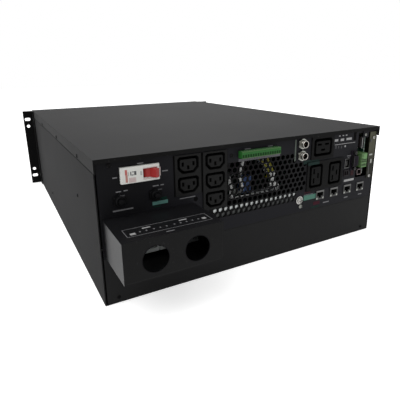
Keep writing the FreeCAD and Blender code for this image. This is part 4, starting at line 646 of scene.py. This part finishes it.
# Print on the rear panel and on the breaker, with painted highlights on a label's top edge and along the
# panel's bend: each piece's ink, and its (x, z, width, height) in millimetres
PANEL_PRINT = {
    "pale_ticks": ("dim_ink", [
        (-168.6, 161.8, 7, 1.2), (-197.8, 149.4, 5, 1.3), (-140.0, 149.5, 7, 1.3), (-26.4, 162.3, 9, 1.1),
        (9.4, 162.3, 8, 1.1), (119.2, 65.0, 12, 1.6), (161.6, 65.2, 8, 1.6), (193.4, 65.2, 8, 1.6),
        (160.8, 131.4, 9, 1.2), (160.8, 129.2, 6, 0.9)]),
    "dim_ticks": ("dim_ink", [
        (-194.9, 133.4, 6, 1.2), (-186.9, 133.6, 4.5, 1.4), (-152.0, 133.6, 7, 1.2),
        (-144.2, 133.6, 4, 1.2), (-191.2, 112.2, 23, 1.6), (-112.6, 112.6, 21, 1.1)]),
    "grey_teal_labels": ("grey_teal_ink", [(-147.4, 112.9, 19, 4.2)]),
    "deep_green_labels": ("deep_green_ink", [
        (-143.4, 117.4, 9, 2.6), (-151.4, 108.6, 9, 1.2), (97.0, 61.4, 16, 1.6)]),
    "teal_labels": ("teal_ink", [(85.6, 78.6, 24, 7.4)]),
    "maroon_labels": ("maroon_ink", [(80.1, 86.4, 12, 1.4), (99.5, 67.0, 13, 5.0)]),
    # Painted highlight: a light line on the teal label's top edge
    "label_top_painted_highlight": ("label_ink", [(82.6, 83.2, 18, 0.9)]),
    "panel_signs": ("pale_ink", [
        (149.8, 151.1, 43, 0.7), (126.5, 153.0, 0.7, 4.0), (130.9, 157.6, 7, 3.4), (143.0, 157.4, 7, 3.6),
        (157.2, 157.6, 11, 3.4), (137.0, 163.6, 3, 1.6), (144.3, 163.6, 3, 1.6), (151.0, 163.6, 3.4, 1.6),
        (150.2, 147.0, 2.8, 2.6)]),
    "panel_small_signs": ("faint_ink", [
        (130.9, 147.4, 2.4, 4.2), (136.4, 147.2, 1.8, 4.2), (142.4, 146.6, 1.6, 4.4)]),
    "panel_bar": ("pale_ink", [(165.0, 92.6, 21.6, 3.4)]),
    "terminal_number_strip": ("label_ink", [(-6.8, 148.7, 66.4, 3.2)]),
    "socket_side_bar": ("strip_ink", [(53.2, 151.4, 2.2, 30.5)]),
    # Painted highlight: a light line along the panel's bend
    "panel_bend_painted_highlight": ("bend_ink", [(58.0, 58.8, 308, 0.9)]),
}
# Painted shadows: near-black strips in the gaps beside the outlet strips and beside the slot's bracket
PANEL_PAINTED_SHADOWS = {
    "strip_gap_painted_shadows": [(-92.9, 140.6, 2.4, 49), (-129.0, 140.6, 1.3, 49), (-56.9, 128.6, 1.2, 73)],
    "slot_side_painted_shadow": [(169.6, 160.5, 5.6, 13)],
}
BREAKER_PRINT = {
    "breaker_red_stripe": ("red_ink", [(-186.2, 154.4, 2.4, 5.6)]),
    "breaker_soft_stripe": ("soft_red_ink", [(-185.9, 147.4, 2.4, 8.2)]),
    "breaker_rose_block": ("rose_ink", [
        (-179.4, 145.3, 8.0, 5.4), (-147.2, 150.8, 0.8, 10.0), (-158.6, 156.6, 17.0, 0.9),
        (-158.6, 144.6, 17.0, 1.5)]),
    "breaker_dark_print": ("dark_ink", [
        (-181.0, 152.6, 1.1, 4.2), (-179.0, 150.9, 2.2, 1.0), (-178.6, 154.2, 2.0, 0.9),
        (-176.0, 152.6, 2.4, 4.4)]),
    "breaker_grey_print": ("grey_ink", [(-169.4, 151.6, 1.8, 4.4), (-183.8, 152.4, 0.9, 4.4)]),
}


# Operators

class FinishCasing(bpy.types.Operator):
    """Give each part from the CAD frame its finish"""
    bl_idname = "power_supply.finish_parts"
    bl_label = "Finish parts"

    def execute(self, context):
        slots = {row["node"]: row["material_slot"] for row in frame["record"]["subparts"]}
        for node, made in frame["nodes"].items():
            material = finish(OWN_FINISH.get(node, slots[node]))
            made.data.materials.clear()
            made.data.materials.append(material)
        return {"FINISHED"}


class AddPanelFittings(bpy.types.Operator):
    """Turn the reset bushes, their nuts and button caps, and the round sockets"""
    bl_idname = "power_supply.panel_fittings"
    bl_label = "Panel fittings"

    def execute(self, context):
        self.reset_bushes()
        self.round_sockets()
        for side in ("left", "right"):
            self.reset_cap("reset_cap_" + side, "reset_" + side, "reset_button_" + side)
        return {"FINISHED"}

    @staticmethod
    def reset_bushes():
        """A threaded bush with a hexagonal nut round each reset button."""
        buttons = [middle(node) for node in ("reset_button_left", "reset_button_right")]
        places = [(x, REAR, z) for x, _, z in buttons]
        neck = ([(3.75, -1.2), (5.6, -1.2), (5.6, 3.2)] + thread(5.6, 3.4, 6.0, 4, 0.2)
                + [(5.2, 6.5), (4.0, 6.5), (3.75, 6.3)])
        made = turned("reset_bushes", neck, places, BACKWARD, "button_black", steps=48, loop=True)
        nut = [(5.7, 0.0), (8.3, 0.0), (8.3, 2.5), (7.4, RESET_NUT_HEIGHT), (5.7, RESET_NUT_HEIGHT)]
        made = turned("reset_nuts", nut, places, BACKWARD, "button_black", steps=48,
                      shape=hexagon(7.0, 7.19), loop=True)

    @staticmethod
    def round_sockets():
        """A threaded shell with a hexagonal nut, an insert and a pin for each round socket."""
        places = [(x, REAR, z) for x, z in ROUND_SOCKETS]
        barrel = ([(4.2, -9.0), (5.0, -9.0), (5.0, 2.5), (5.2, 2.8)] + thread(5.2, 3.4, 6.4, 3, 0.18)
                  + [(5.2, 7.5), (4.9, 8.0), (4.35, 8.0), (4.2, 7.8)])
        made = turned("round_socket_shells", barrel, places, BACKWARD, "bright_nickel", steps=48, loop=True)
        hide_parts("panel_fittings")
        nut = [(5.25, 0.0), (8.0, 0.0), (8.0, 2.0), (7.2, 2.6), (5.25, 2.6)]
        made = turned("round_socket_nuts", nut, places, BACKWARD, "grey_nickel", steps=48,
                      shape=hexagon(6.8, 6.93), loop=True)
        # The insert is coloured near-black as painted shade in the socket's bore
        cup = [(0.05, 0.0), (4.15, 0.0), (4.15, 7.6), (3.9, 7.75), (3.7, 7.5), (3.7, 4.0), (0.05, 4.0)]
        turned("round_socket_inserts", cup, places, BACKWARD, "shadow_black")
        pin = [(0.7, 3.8), (0.7, 6.2), (0.45, 6.5), (0.05, 6.55)]
        turned("round_socket_pins", pin, places, BACKWARD, "dark_brass")

    @staticmethod
    def reset_cap(name, body, node):
        """A button's cap, crowned at its outer end, as long as the button is."""
        x, _, z = middle(node)
        outer, inner = edges(node)[2:4]
        length = inner - outer
        cap = [(3.4, 0.0), (3.4, length - 1.1), (3.1, length - 0.45), (2.4, length - 0.1), (1.2, length),
               (0.05, length)]
        made = turned(name, cap, [(x, inner, z)], BACKWARD, "button_black", body, 48)
        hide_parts(node)


class AddScrews(bpy.types.Operator):
    """Screws of the rear panel, card bracket, ears, lid and side walls, and the ground screw"""
    bl_idname = "power_supply.screws"
    bl_label = "Screws"

    def execute(self, context):
        self.rear_screws(context.scene.power_supply_fittings.screw_radius)
        wall = [(-189.9, 103.5), (91.7, 28.2), (250.0, 28.6)]
        flange = [(y, 160.6) for y in (-215.5, -56.9, 120.0)]
        ear = [(283.0, z) for z in (26.0, 86.0, 146.0)]
        for name, faces, places, radius, height in (
                ("side_screws_", edges("chassis_tray")[:2], wall, 2.4, 1.0),
                ("lid_screws_", edges("top_cover")[:2], flange, 2.6, 1.0),
                ("ear_screws_", (-EAR_FACE, EAR_FACE), ear, 3.4, 1.6)):
            for side, x, outward in zip(("left", "right"), faces, (LEFTWARD, RIGHTWARD)):
                heads = [(x, y, z) for y, z in places]
                screws(name + side, heads, outward, radius, height, "button_black")
        return {"FINISHED"}

    @staticmethod
    def rear_screws(radius):
        """Screws on the panel, on the card's bracket and on the slot's tab, and the ground screw."""
        panel = [(-203.1, REAR, 163.6), (-50.3, REAR, 155.9)]
        screws("panel_screws", panel, BACKWARD, radius, 1.7, "black_moulding")
        face = edges("card_bracket")[2]
        screws("bracket_screws", [(211.2, face, 155.0), (208.8, face, 93.6)], BACKWARD, 2.4, 1.8)
        tab = [(186.8, 198.4, REAR - TAB_THICKNESS, REAR - 0.05, 156.6, 166.0)]
        plates("slot_tab", tab, "panel_paint")
        on_tab = [(191.6, REAR - TAB_THICKNESS, 160.9)]
        screws("slot_screw", on_tab, BACKWARD, 2.2, 1.6, "grey_nickel")
        x, z = GROUND_SCREW
        washer = [(2.0, 0.0), (6.0, 0.0), (6.0, 1.0), (5.6, 1.25), (2.0, 1.25)]
        turned("ground_washer", washer, [(x, REAR, z)], BACKWARD, "nickel", steps=48)
        screws("ground_screw", [(x, REAR - WASHER_HEIGHT, z)], BACKWARD, 4.3, 2.9)
        screws("ground_lower_screw", [(68.0, REAR, 67.4)], BACKWARD, 3.0, 1.8, "grey_nickel")
        low = [(x, REAR, 6.6) for x in (-203.8, 203.8)]
        screws("lower_panel_screws", low, BACKWARD, 2.2, 1.4, "button_black")


class AddPanelPrint(bpy.types.Operator):
    """Plain ticks, bars and blocks where the rear panel's print is, with painted highlights on a label's top
    edge, along the panel's bend and on the reset nuts, painted shadows in the gaps beside the outlet strips
    and the slot, and a painted shadow disc on a hole
    """
    bl_idname = "power_supply.panel_print"
    bl_label = "Panel print"

    def execute(self, context):
        lift = context.scene.power_supply_print.lift
        for name, (ink, rows) in PANEL_PRINT.items():
            plates(name, marks(rows, lift), ink)
        # Painted shadows in the gaps beside the outlet strips and the slot's bracket
        for name, rows in PANEL_PAINTED_SHADOWS.items():
            plates(name, marks(rows, SHADOW_STRIP_LIFT), "shadow_black")
        numbers = [(-38.2 + TERMINAL_PITCH * i, 148.6, 1.7, 2.2) for i in range(11)]
        plates("terminal_numbers", marks(numbers, lift + 0.05), "dark_ink")
        # Painted highlights on the reset nuts' top edges
        nut_highlights = [(-191.8, 129.3, 5.4, 1.4), (-148.2, 129.6, 5.0, 1.4)]
        plates("reset_nut_painted_highlights", marks(nut_highlights, 0.1, REAR - RESET_NUT_HEIGHT), "faint_ink")
        _, _, face, _, _, top = edges("large_outlet_pair")
        on_pair = [(76.9, 98.4, face - 0.1, face + PRINT_SINK, 126.9, top - 0.1)]
        plates("dark_teal_labels", marks([(84.2, 131.9, 30, 5.2)], lift) + on_pair, "dark_teal_ink")
        # Painted shadow: a near-black disc on a small hole in the panel
        disc = [(3.0, -0.1), (3.0, 0.1), (0.05, 0.1)]
        turned("panel_hole_painted_shadow", disc, [(-101.4, REAR, 108.7)], BACKWARD, "shadow_black")
        return {"FINISHED"}


class AddBreakerFace(bpy.types.Operator):
    """Print on the breaker's white face"""
    bl_idname = "power_supply.breaker_face"
    bl_label = "Breaker face"

    def execute(self, context):
        lift = context.scene.power_supply_print.lift
        for name, (ink, rows) in BREAKER_PRINT.items():
            plates(name, marks(rows, lift, edges("breaker_body")[2]), ink)
        return {"FINISHED"}


class AddSocketDetails(bpy.types.Operator):
    """Contacts in the outlets, pins in the jacks and sockets, and screws and ribs on the terminals"""
    bl_idname = "power_supply.socket_details"
    bl_label = "Socket details"

    def execute(self, context):
        self.outlet_contacts()
        self.signal_terminals()
        self.jacks()
        self.usb_rim()
        self.serial()
        return {"FINISHED"}

    @staticmethod
    def outlet_contacts():
        """Three upright blades behind each outlet's slots."""
        rows = [(cx, cz, 1.0, 4.0) for x, heights in OUTLET_COLUMNS.items() for z in heights
                for cx, cz in ((x - 7, z + 1.2), (x + 7, z + 1.2), (x, z - 2.8))]
        plates("outlet_contacts", slabs(rows, REAR + 3.5, REAR + 13.4), "brass")

    @staticmethod
    def signal_terminals():
        """Ribs, painted shade in the wire mouths, rims and screws of the green terminal row."""
        x0, x1, y0, y1, z0, z1 = edges("signal_terminal_plug")
        pitch = (x1 - x0) / TERMINAL_COUNT
        walls = [x0 + pitch * i for i in range(1, TERMINAL_COUNT)]
        centres = [x0 + pitch * (i + 0.5) for i in range(TERMINAL_COUNT)]
        low, high = y0 - 0.35, y0 + PLATE_SINK
        ribs = [(x - 0.25, x + 0.25, low, high, z0 + 0.6, z1 - 0.4) for x in walls]
        plates("terminal_ribs", ribs, "terminal_green")
        # Painted shade: dark green plates in the wire mouths
        mouth_shades = [(x - 1.15, x + 1.15, y0 - 0.1, high, z0 + 1.0, z0 + 4.8) for x in centres]
        plates("terminal_mouth_painted_shades", mouth_shades, "dark_green_moulding")
        rims = [(x0 + 0.2, x1 - 0.2, y0 - 0.45, high, z, z + 0.7) for z in (z0 + 0.05, z1 - 0.75)]
        plates("terminal_rims", rims, "pale_green")
        head = [(1.2, -0.2), (1.2, 0.15), (1.0, 0.3), (0.05, 0.3)]
        places = [(x, (y0 + y1) / 2, z1) for x in centres]
        turned("terminal_screws", head, places, UPWARD, "nickel", steps=16)

    @staticmethod
    def jacks():
        """Pins, the plated bar over the mouth and two tabs under it, for each network jack."""
        pins = [(x - 4.45 + JACK_PIN_PITCH * i, 83.3, 0.4, 0.6) for x in JACK_CENTRES
                for i in range(JACK_PIN_COUNT)]
        plates("jack_pins", slabs(pins, REAR + 2.0, REAR + 9.5), "brass")
        face = edges("network_jacks")[2]
        low, high = face - 0.15, face + PLATE_SINK
        bars = [(x, 84.4, 14.4, 2.6) for x in JACK_CENTRES]
        plates("jack_top_bars", slabs(bars, low, high), "soft_nickel")
        tabs = [(x + side, 73.7, 2.6, 2.6) for x in JACK_CENTRES for side in (-6.0, 6.0)]
        plates("jack_corner_tabs", slabs(tabs, low, high), "grey_nickel")

    @staticmethod
    def usb_rim():
        """The plated shell's edge round the upper service socket."""
        x0, x1, y0, _, z0, z1 = edges("usb_socket")
        low, high = y0 - 0.15, y0 + PLATE_SINK
        rim = [(x0, x0 + 1.0, low, high, z0, z1), (x0 + 1.0, x1 - 1.6, low, high, z0, z0 + 0.8),
               (x0 + 1.0, x1 - 1.0, low, high, z1 - 0.8, z1)]
        plates("usb_shell_rim", rim, "soft_nickel")

    @staticmethod
    def serial():
        """Two columns of painted shadow dots on the pin holes, two jack posts and the shell's edges on the
        serial socket.
        """
        x0, x1, face, _, z0, z1 = edges("serial_socket")
        cx, cz = (x0 + x1) / 2, (z0 + z1) / 2
        # Painted shadows: near-black dots on the pin holes
        hole_shadows = [(cx - 1.4, face, cz + SERIAL_PIN_PITCH * (i - 2)) for i in range(5)]
        hole_shadows += [(cx + 1.4, face, cz + SERIAL_PIN_PITCH * (i - 1.5)) for i in range(4)]
        dot = [(0.55, -0.3), (0.55, 0.12), (0.05, 0.12)]
        turned("serial_pin_hole_painted_shadows", dot, hole_shadows, BACKWARD, "shadow_black", steps=14)
        post = [(2.5, 0.0), (2.5, 4.2), (1.3, 4.2), (1.3, 3.0), (0.05, 3.0)]
        places = [(cx, REAR - 1.0, z) for z in (z0 + 3.2, z1 - 3.2)]
        turned("serial_jack_posts", post, places, BACKWARD, "dull_nickel", steps=6, degrees=20.0)
        rim = [(cx - 4.7, cx - 4.2, face, face + 4.5, z0 + 6.9, z1 - 6.9),
               (cx + 4.2, cx + 4.7, face, face + 4.5, z0 + 8.0, z1 - 8.0)]
        plates("serial_shell_rim", rim, "dull_nickel")


class AddCardDetails(bpy.types.Operator):
    """Ribs with painted highlights, a face with painted light and slots with painted shade on the card's
    terminal block, the edges of its plugs, and the clips and a painted highlight on the fold of its bracket
    """
    bl_idname = "power_supply.card_details"
    bl_label = "Card details"

    def execute(self, context):
        self.terminal()
        self.headers()
        self.bracket()
        return {"FINISHED"}

    @staticmethod
    def terminal():
        """Painted highlights on the ribs, painted light on the face and painted shade in the slots of the
        green block.
        """
        x0, x1, y0, _, z0, z1 = edges("card_terminal")
        high = y0 + PLATE_SINK
        levels = (z0 + 0.3, z0 + 6.2, z1 - 6.2, z1 - 1.2)
        # Painted highlights on the ribs
        ribs = [(x0 + 1.0, x1 - 0.6, y0 - 0.5, high, z, z + 0.8) for z in levels]
        plates("card_terminal_rib_highlights", ribs, "light_green")
        # Painted light on the upper face
        face = [(x0 + 5.0, x1 - 0.4, y0 - 0.2, high, z0 + 13.0, z1 - 1.6)]
        plates("card_terminal_painted_light_face", face, "light_green")
        # Painted shade in the slots
        levels = (z0 + 3.2, z0 + 8.6, z0 + 11.4)
        slots = [(x0 + 1.4, x1 - 1.6, y0 - 0.25, high, z, z + 0.9) for z in levels]
        plates("card_terminal_slot_shades", slots, "dark_green_moulding")

    @staticmethod
    def headers():
        """The upper plug's bright edge and the lower plug's rim."""
        x0, x1, y0, _, z0, z1 = edges("card_headers")
        near, far = y0 - 0.2, y0 + PLATE_SINK
        plates("card_header_edge", [(x1 - 4.6, x1 - 3.6, near, far, 139.8, z1 - 1.2)], "pale_ink")
        low, high = z0 + 0.2, 106.2
        rim = [(x0, x1, near, far, z, z + 1.0) for z in (low, high)]
        rim += [(x, x + 1.0, near, far, low, high + 1.0) for x in (x0, x1 - 1.0)]
        plates("card_plug_rim", rim, "rose_grey_ink")

    @staticmethod
    def bracket():
        """Clips and a painted highlight on the fold of the card's bracket."""
        face = edges("card_bracket")[2]
        near, far = face - 0.5, face + PLATE_SINK
        clips = [(204.6, 211.4, near, far, 126.9, 129.2), (208.2, 211.4, near, far, 114.2, 120.6)]
        plates("bracket_clips", clips, "grey_nickel")
        # Painted highlight along the bracket's fold
        plates("bracket_fold_painted_highlight", [(206.0, 206.9, face - 0.3, far, 95.0, 115.0)], "soft_nickel")
        plates("bracket_upper_clip", [(204.0, 207.0, near, far, 147.8, 153.0)], "dull_nickel")


class AddInnerCables(bpy.types.Operator):
    """Pale and yellow cables behind the vent, from the signal header down to the power board"""
    bl_idname = "power_supply.inner_cables"
    bl_label = "Inner cables"

    def execute(self, context):
        radius = context.scene.power_supply_fittings.cable_radius
        behind = edges("signal_terminal_header")[3] + 1.0
        plug = middle("signal_terminal_header")[2]
        board = edges("power_board")[5] + 2.0

        def run(places, top=None):
            """A route just behind the vent, from a terminal or further in, and on in to the board."""
            route = [(x, behind, z) for x, z in places]
            (ax, az), (bx, bz) = places[0], places[-1]
            first = [(top, behind - 1.0, plug)] if top else [(ax, behind + 26.0, az + 12.0)]
            return first + route + [(bx, behind + 12.0, bz - 7.0), (bx, behind + 44.0, board)]

        left = [(-45.2, 125.8), (-43.7, 116.1), (-40.9, 108.1), (-42.5, 101.3), (-40.6, 96.5)]
        inner = [(-22.9, 143.0), (-26.1, 134.0), (-26.8, 128.6), (-28.0, 123.3), (-26.1, 115.9),
                 (-23.6, 107.4), (-24.6, 102.0)]
        right = [(27.4, 122.5), (28.1, 115.2), (29.3, 109.2), (31.3, 101.5), (31.2, 96.5)]
        outer = [(33.0, 105.7), (38.1, 96.5)]
        beside = [(20.8, 122.7), (25.1, 116.5), (23.1, 108.7), (24.9, 101.1)]
        pale = [run(left), run(inner, -19.1), run(right), run(outer), run(beside)]
        tube("pale_cables", pale, radius, "pale_sheath")
        tube("dim_cables", [run([(-38.2, 111.1), (-36.9, 101.9)])], radius * 0.8, "dim_sheath")
        yellow = [[(11.3, behind - 1.0, plug), (16.5, behind, 143.0), (20.7, behind, 135.6),
                   (24.5, behind, 128.6), (27.4, behind + 1.0, 121.0), (27.8, behind + 10.0, 112.0)],
                  [(-3.9, behind - 1.0, plug), (3.9, behind, 143.1), (11.7, behind, 134.5),
                   (17.1, behind, 128.2), (20.8, behind + 1.0, 121.0), (23.0, behind + 10.0, 112.0)]]
        tube("yellow_cables", yellow, radius * 0.85, "yellow_sheath")
        strip = [(-41.0, 20.0, behind - 0.5, behind + 0.5, 94.4, 95.5)]
        plates("board_edge_strip", strip, "pale_sheath")
        return {"FINISHED"}


class AddCoverBoxDetails(bpy.types.Operator):
    """Printed frame on the cover box's top, painted highlights along the front's right and lower edges, and
    the trim of its cable entries
    """
    bl_idname = "power_supply.cover_box_details"
    bl_label = "Cover box details"

    def execute(self, context):
        lift = context.scene.power_supply_print.lift
        x0, x1, y0, _, z0, z1 = edges("terminal_cover_box")

        def on_top(rows):
            """Print on the top, from (x, y, width, depth)."""
            return [(x - w / 2, x + w / 2, y - d / 2, y + d / 2, z1 - PRINT_SINK, z1 + lift)
                    for x, y, w, d in rows]

        lines = [(-158, -332.3, 94, 0.6), (-158, -351.6, 94, 0.6), (-205, -342, 0.6, 20),
                 (-111, -342, 0.6, 20)]
        plates("box_label_frame", on_top(lines), "dim_ink")
        titles = [(-181.0, -337.2, 9, 2.2), (-139.5, -337.2, 9, 2.2), (-198.0, -346.0, 5.5, 4.2),
                  (-117.5, -344.5, 4.5, 4.2)]
        plates("box_label_titles", on_top(titles), "pale_ink")
        ticks = [(x, -344.0, 1.6, 2.4) for x in (-190, -183, -175, -168, -161)]
        ticks += [(x, -343.6, 1.6, 2.4) for x in (-152, -145, -138, -131, -124)]
        plates("box_label_ticks", on_top(ticks + [(-162.5, -357.4, 9, 1.6)]), "dim_ink")
        # Painted highlights: thin lighter lines along the front's right and lower edges
        near, far = y0 - 0.04, y0 + PRINT_SINK
        edge_highlights = [(x1 - 1.4, x1 - 0.9, near, far, z0 + 1.2, z1 - 1.2),
                (x0 + 1.4, x1 - 0.9, near, far, z0 + 1.2, z0 + 1.7)]
        plates("box_edge_painted_highlights", edge_highlights, "bend_ink")
        places = [(x, y0, z) for x, z in CABLE_ENTRIES]
        rim = [(13.9, -1.6), (14.5, -1.6), (14.5, -0.05), (15.1, -0.05), (15.0, 0.04), (14.0, 0.04)]
        turned("cable_entry_trim", rim, places, BACKWARD, "button_black", steps=64, degrees=50.0, loop=True)
        return {"FINISHED"}


class AddFrontDetails(bpy.types.Operator):
    """Status lights and the display's inner frame on the front"""
    bl_idname = "power_supply.front_details"
    bl_label = "Front details"

    def execute(self, context):
        x0, x1, _, face, z0, z1 = edges("display_window")
        cx, cz = (x0 + x1) / 2, (z0 + z1) / 2
        lines = [(cx, z1 - 6.0, 84, 0.5), (cx, z0 + 6.0, 84, 0.5), (cx - 42, cz, 0.5, 46),
                 (cx + 42, cz, 0.5, 46)]
        plates("display_inner_frame", slabs(lines, face - PRINT_SINK, face + 0.1), "dim_ink")
        bezel = edges("front_bezel")[3]
        lights = [(-60.0 + LIGHT_PITCH * i, bezel, 143.0) for i in range(4)]
        dome = [(1.6, -0.3), (1.6, 0.2), (1.2, 0.6), (0.05, 0.75)]
        turned("status_lights", dome, lights, FORWARD, "status_light", steps=20)
        return {"FINISHED"}


class AddStage(bpy.types.Operator):
    """Floor, light and the camera of the photograph"""
    bl_idname = "power_supply.stage"
    bl_label = "Stage"

    def execute(self, context):
        scene = context.scene
        values = scene.power_supply_stage
        self.floor(scene, list(values.floor_colour))
        self.world(scene, values.fill)
        self.lamp(scene, "key_light", values.key_power, KEY_PLACE, KEY_TARGET)
        self.lamp(scene, "back_light", values.key_power * BACK_SHARE, BACK_PLACE, BACK_TARGET)
        self.camera(scene)
        scene.view_settings.view_transform = "Standard"
        return {"FINISHED"}

    @staticmethod
    def floor(scene, colour):
        """A pale floor that keeps the object's shadow and shows white to the rays that see it far off."""
        mesh = bpy.data.meshes.new("floor")
        corners = [(-1, -1), (1, -1), (1, 1), (-1, 1)]
        mesh.from_pydata([(FLOOR_REACH * x, FLOOR_REACH * y, FLOOR_HEIGHT) for x, y in corners], [],
                         [(0, 1, 2, 3)])
        floor = bpy.data.objects.new("floor", mesh)
        scene.collection.objects.link(floor)
        s = material_shader("floor_paper")
        mesh.materials.append(s.finish(base_color=colour + [1.0], roughness=0.9, emission_color=WHITE,
                                       emission_strength=s.seen() * FLOOR_GLOW))

    @staticmethod
    def world(scene, fill):
        """An even grey light, white where it is seen."""
        s = Shader(bpy.data.worlds.new("studio"), "ShaderNodeBackground", "ShaderNodeOutputWorld")
        level = s.node("ShaderNodeMix", None, {0: s.seen(), 2: fill, 3: 1.0})
        scene.world = s.finish(color=WHITE, strength=level)

    @staticmethod
    def lamp(scene, name, power, place, target):
        """A square soft lamp that faces a point: its -Z axis runs along target - place."""
        data = bpy.data.lights.new(name, "AREA")
        data.energy = power
        data.size = LAMP_SIZE
        lamp = bpy.data.objects.new(name, data)
        scene.collection.objects.link(lamp)
        back = np.array(place, float) - np.array(target, float)
        back /= np.linalg.norm(back)
        side = np.cross(UPWARD, back)
        side /= np.linalg.norm(side)
        rows = np.eye(4)
        rows[:3] = np.stack([side, np.cross(back, side), back, place], axis=1)
        lamp.matrix_world = Matrix(rows.tolist())

    @staticmethod
    def camera(scene):
        """The camera solved from the photograph."""
        data = bpy.data.cameras.new("photo_camera")
        data.sensor_width = SENSOR_WIDTH
        data.lens = FOCAL_PIXELS / PHOTO_PIXELS * SENSOR_WIDTH
        data.shift_x, data.shift_y = CAMERA_SHIFT
        data.clip_start = NEAREST_SEEN
        camera = bpy.data.objects.new("photo_camera", data)
        scene.collection.objects.link(camera)
        camera.location = CAMERA_PLACE
        camera.rotation_euler = [math.radians(angle) for angle in CAMERA_TURN]
        scene.camera = camera


# Sidebar

OPERATORS = (FinishCasing, AddPanelFittings, AddScrews, AddPanelPrint, AddBreakerFace, AddSocketDetails,
             AddCardDetails, AddInnerCables, AddCoverBoxDetails, AddFrontDetails, AddStage)


class PowerSupplyPanel(bpy.types.Panel):
    """Lists the steps that dress the power supply"""
    bl_idname = "VIEW3D_PT_power_supply"
    bl_label = "Power supply"
    bl_space_type = "VIEW_3D"
    bl_region_type = "UI"
    bl_category = "Power supply"

    def draw(self, context):
        for group in ("power_supply_print", "power_supply_fittings", "power_supply_stage"):
            values = getattr(context.scene, group)
            for name in values.__annotations__:
                self.layout.prop(values, name)
        for operator in OPERATORS:
            self.layout.operator(operator.bl_idname)


GROUPS = {"power_supply_print": PowerSupplyPrint, "power_supply_fittings": PowerSupplyFittings,
          "power_supply_stage": PowerSupplyStage}


def register():
    for name, group in GROUPS.items():
        bpy.utils.register_class(group)
        setattr(bpy.types.Scene, name, bpy.props.PointerProperty(type=group))
    for made in OPERATORS + (PowerSupplyPanel,):
        bpy.utils.register_class(made)


def unregister():
    for made in reversed(OPERATORS + (PowerSupplyPanel,)):
        bpy.utils.unregister_class(made)
    for name, group in GROUPS.items():
        delattr(bpy.types.Scene, name)
        bpy.utils.unregister_class(group)


def main():
    """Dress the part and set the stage."""
    register()
    for operator in OPERATORS:
        group, name = operator.bl_idname.split(".")
        getattr(getattr(bpy.ops, group), name)()


if __name__ == "__main__":
    main()
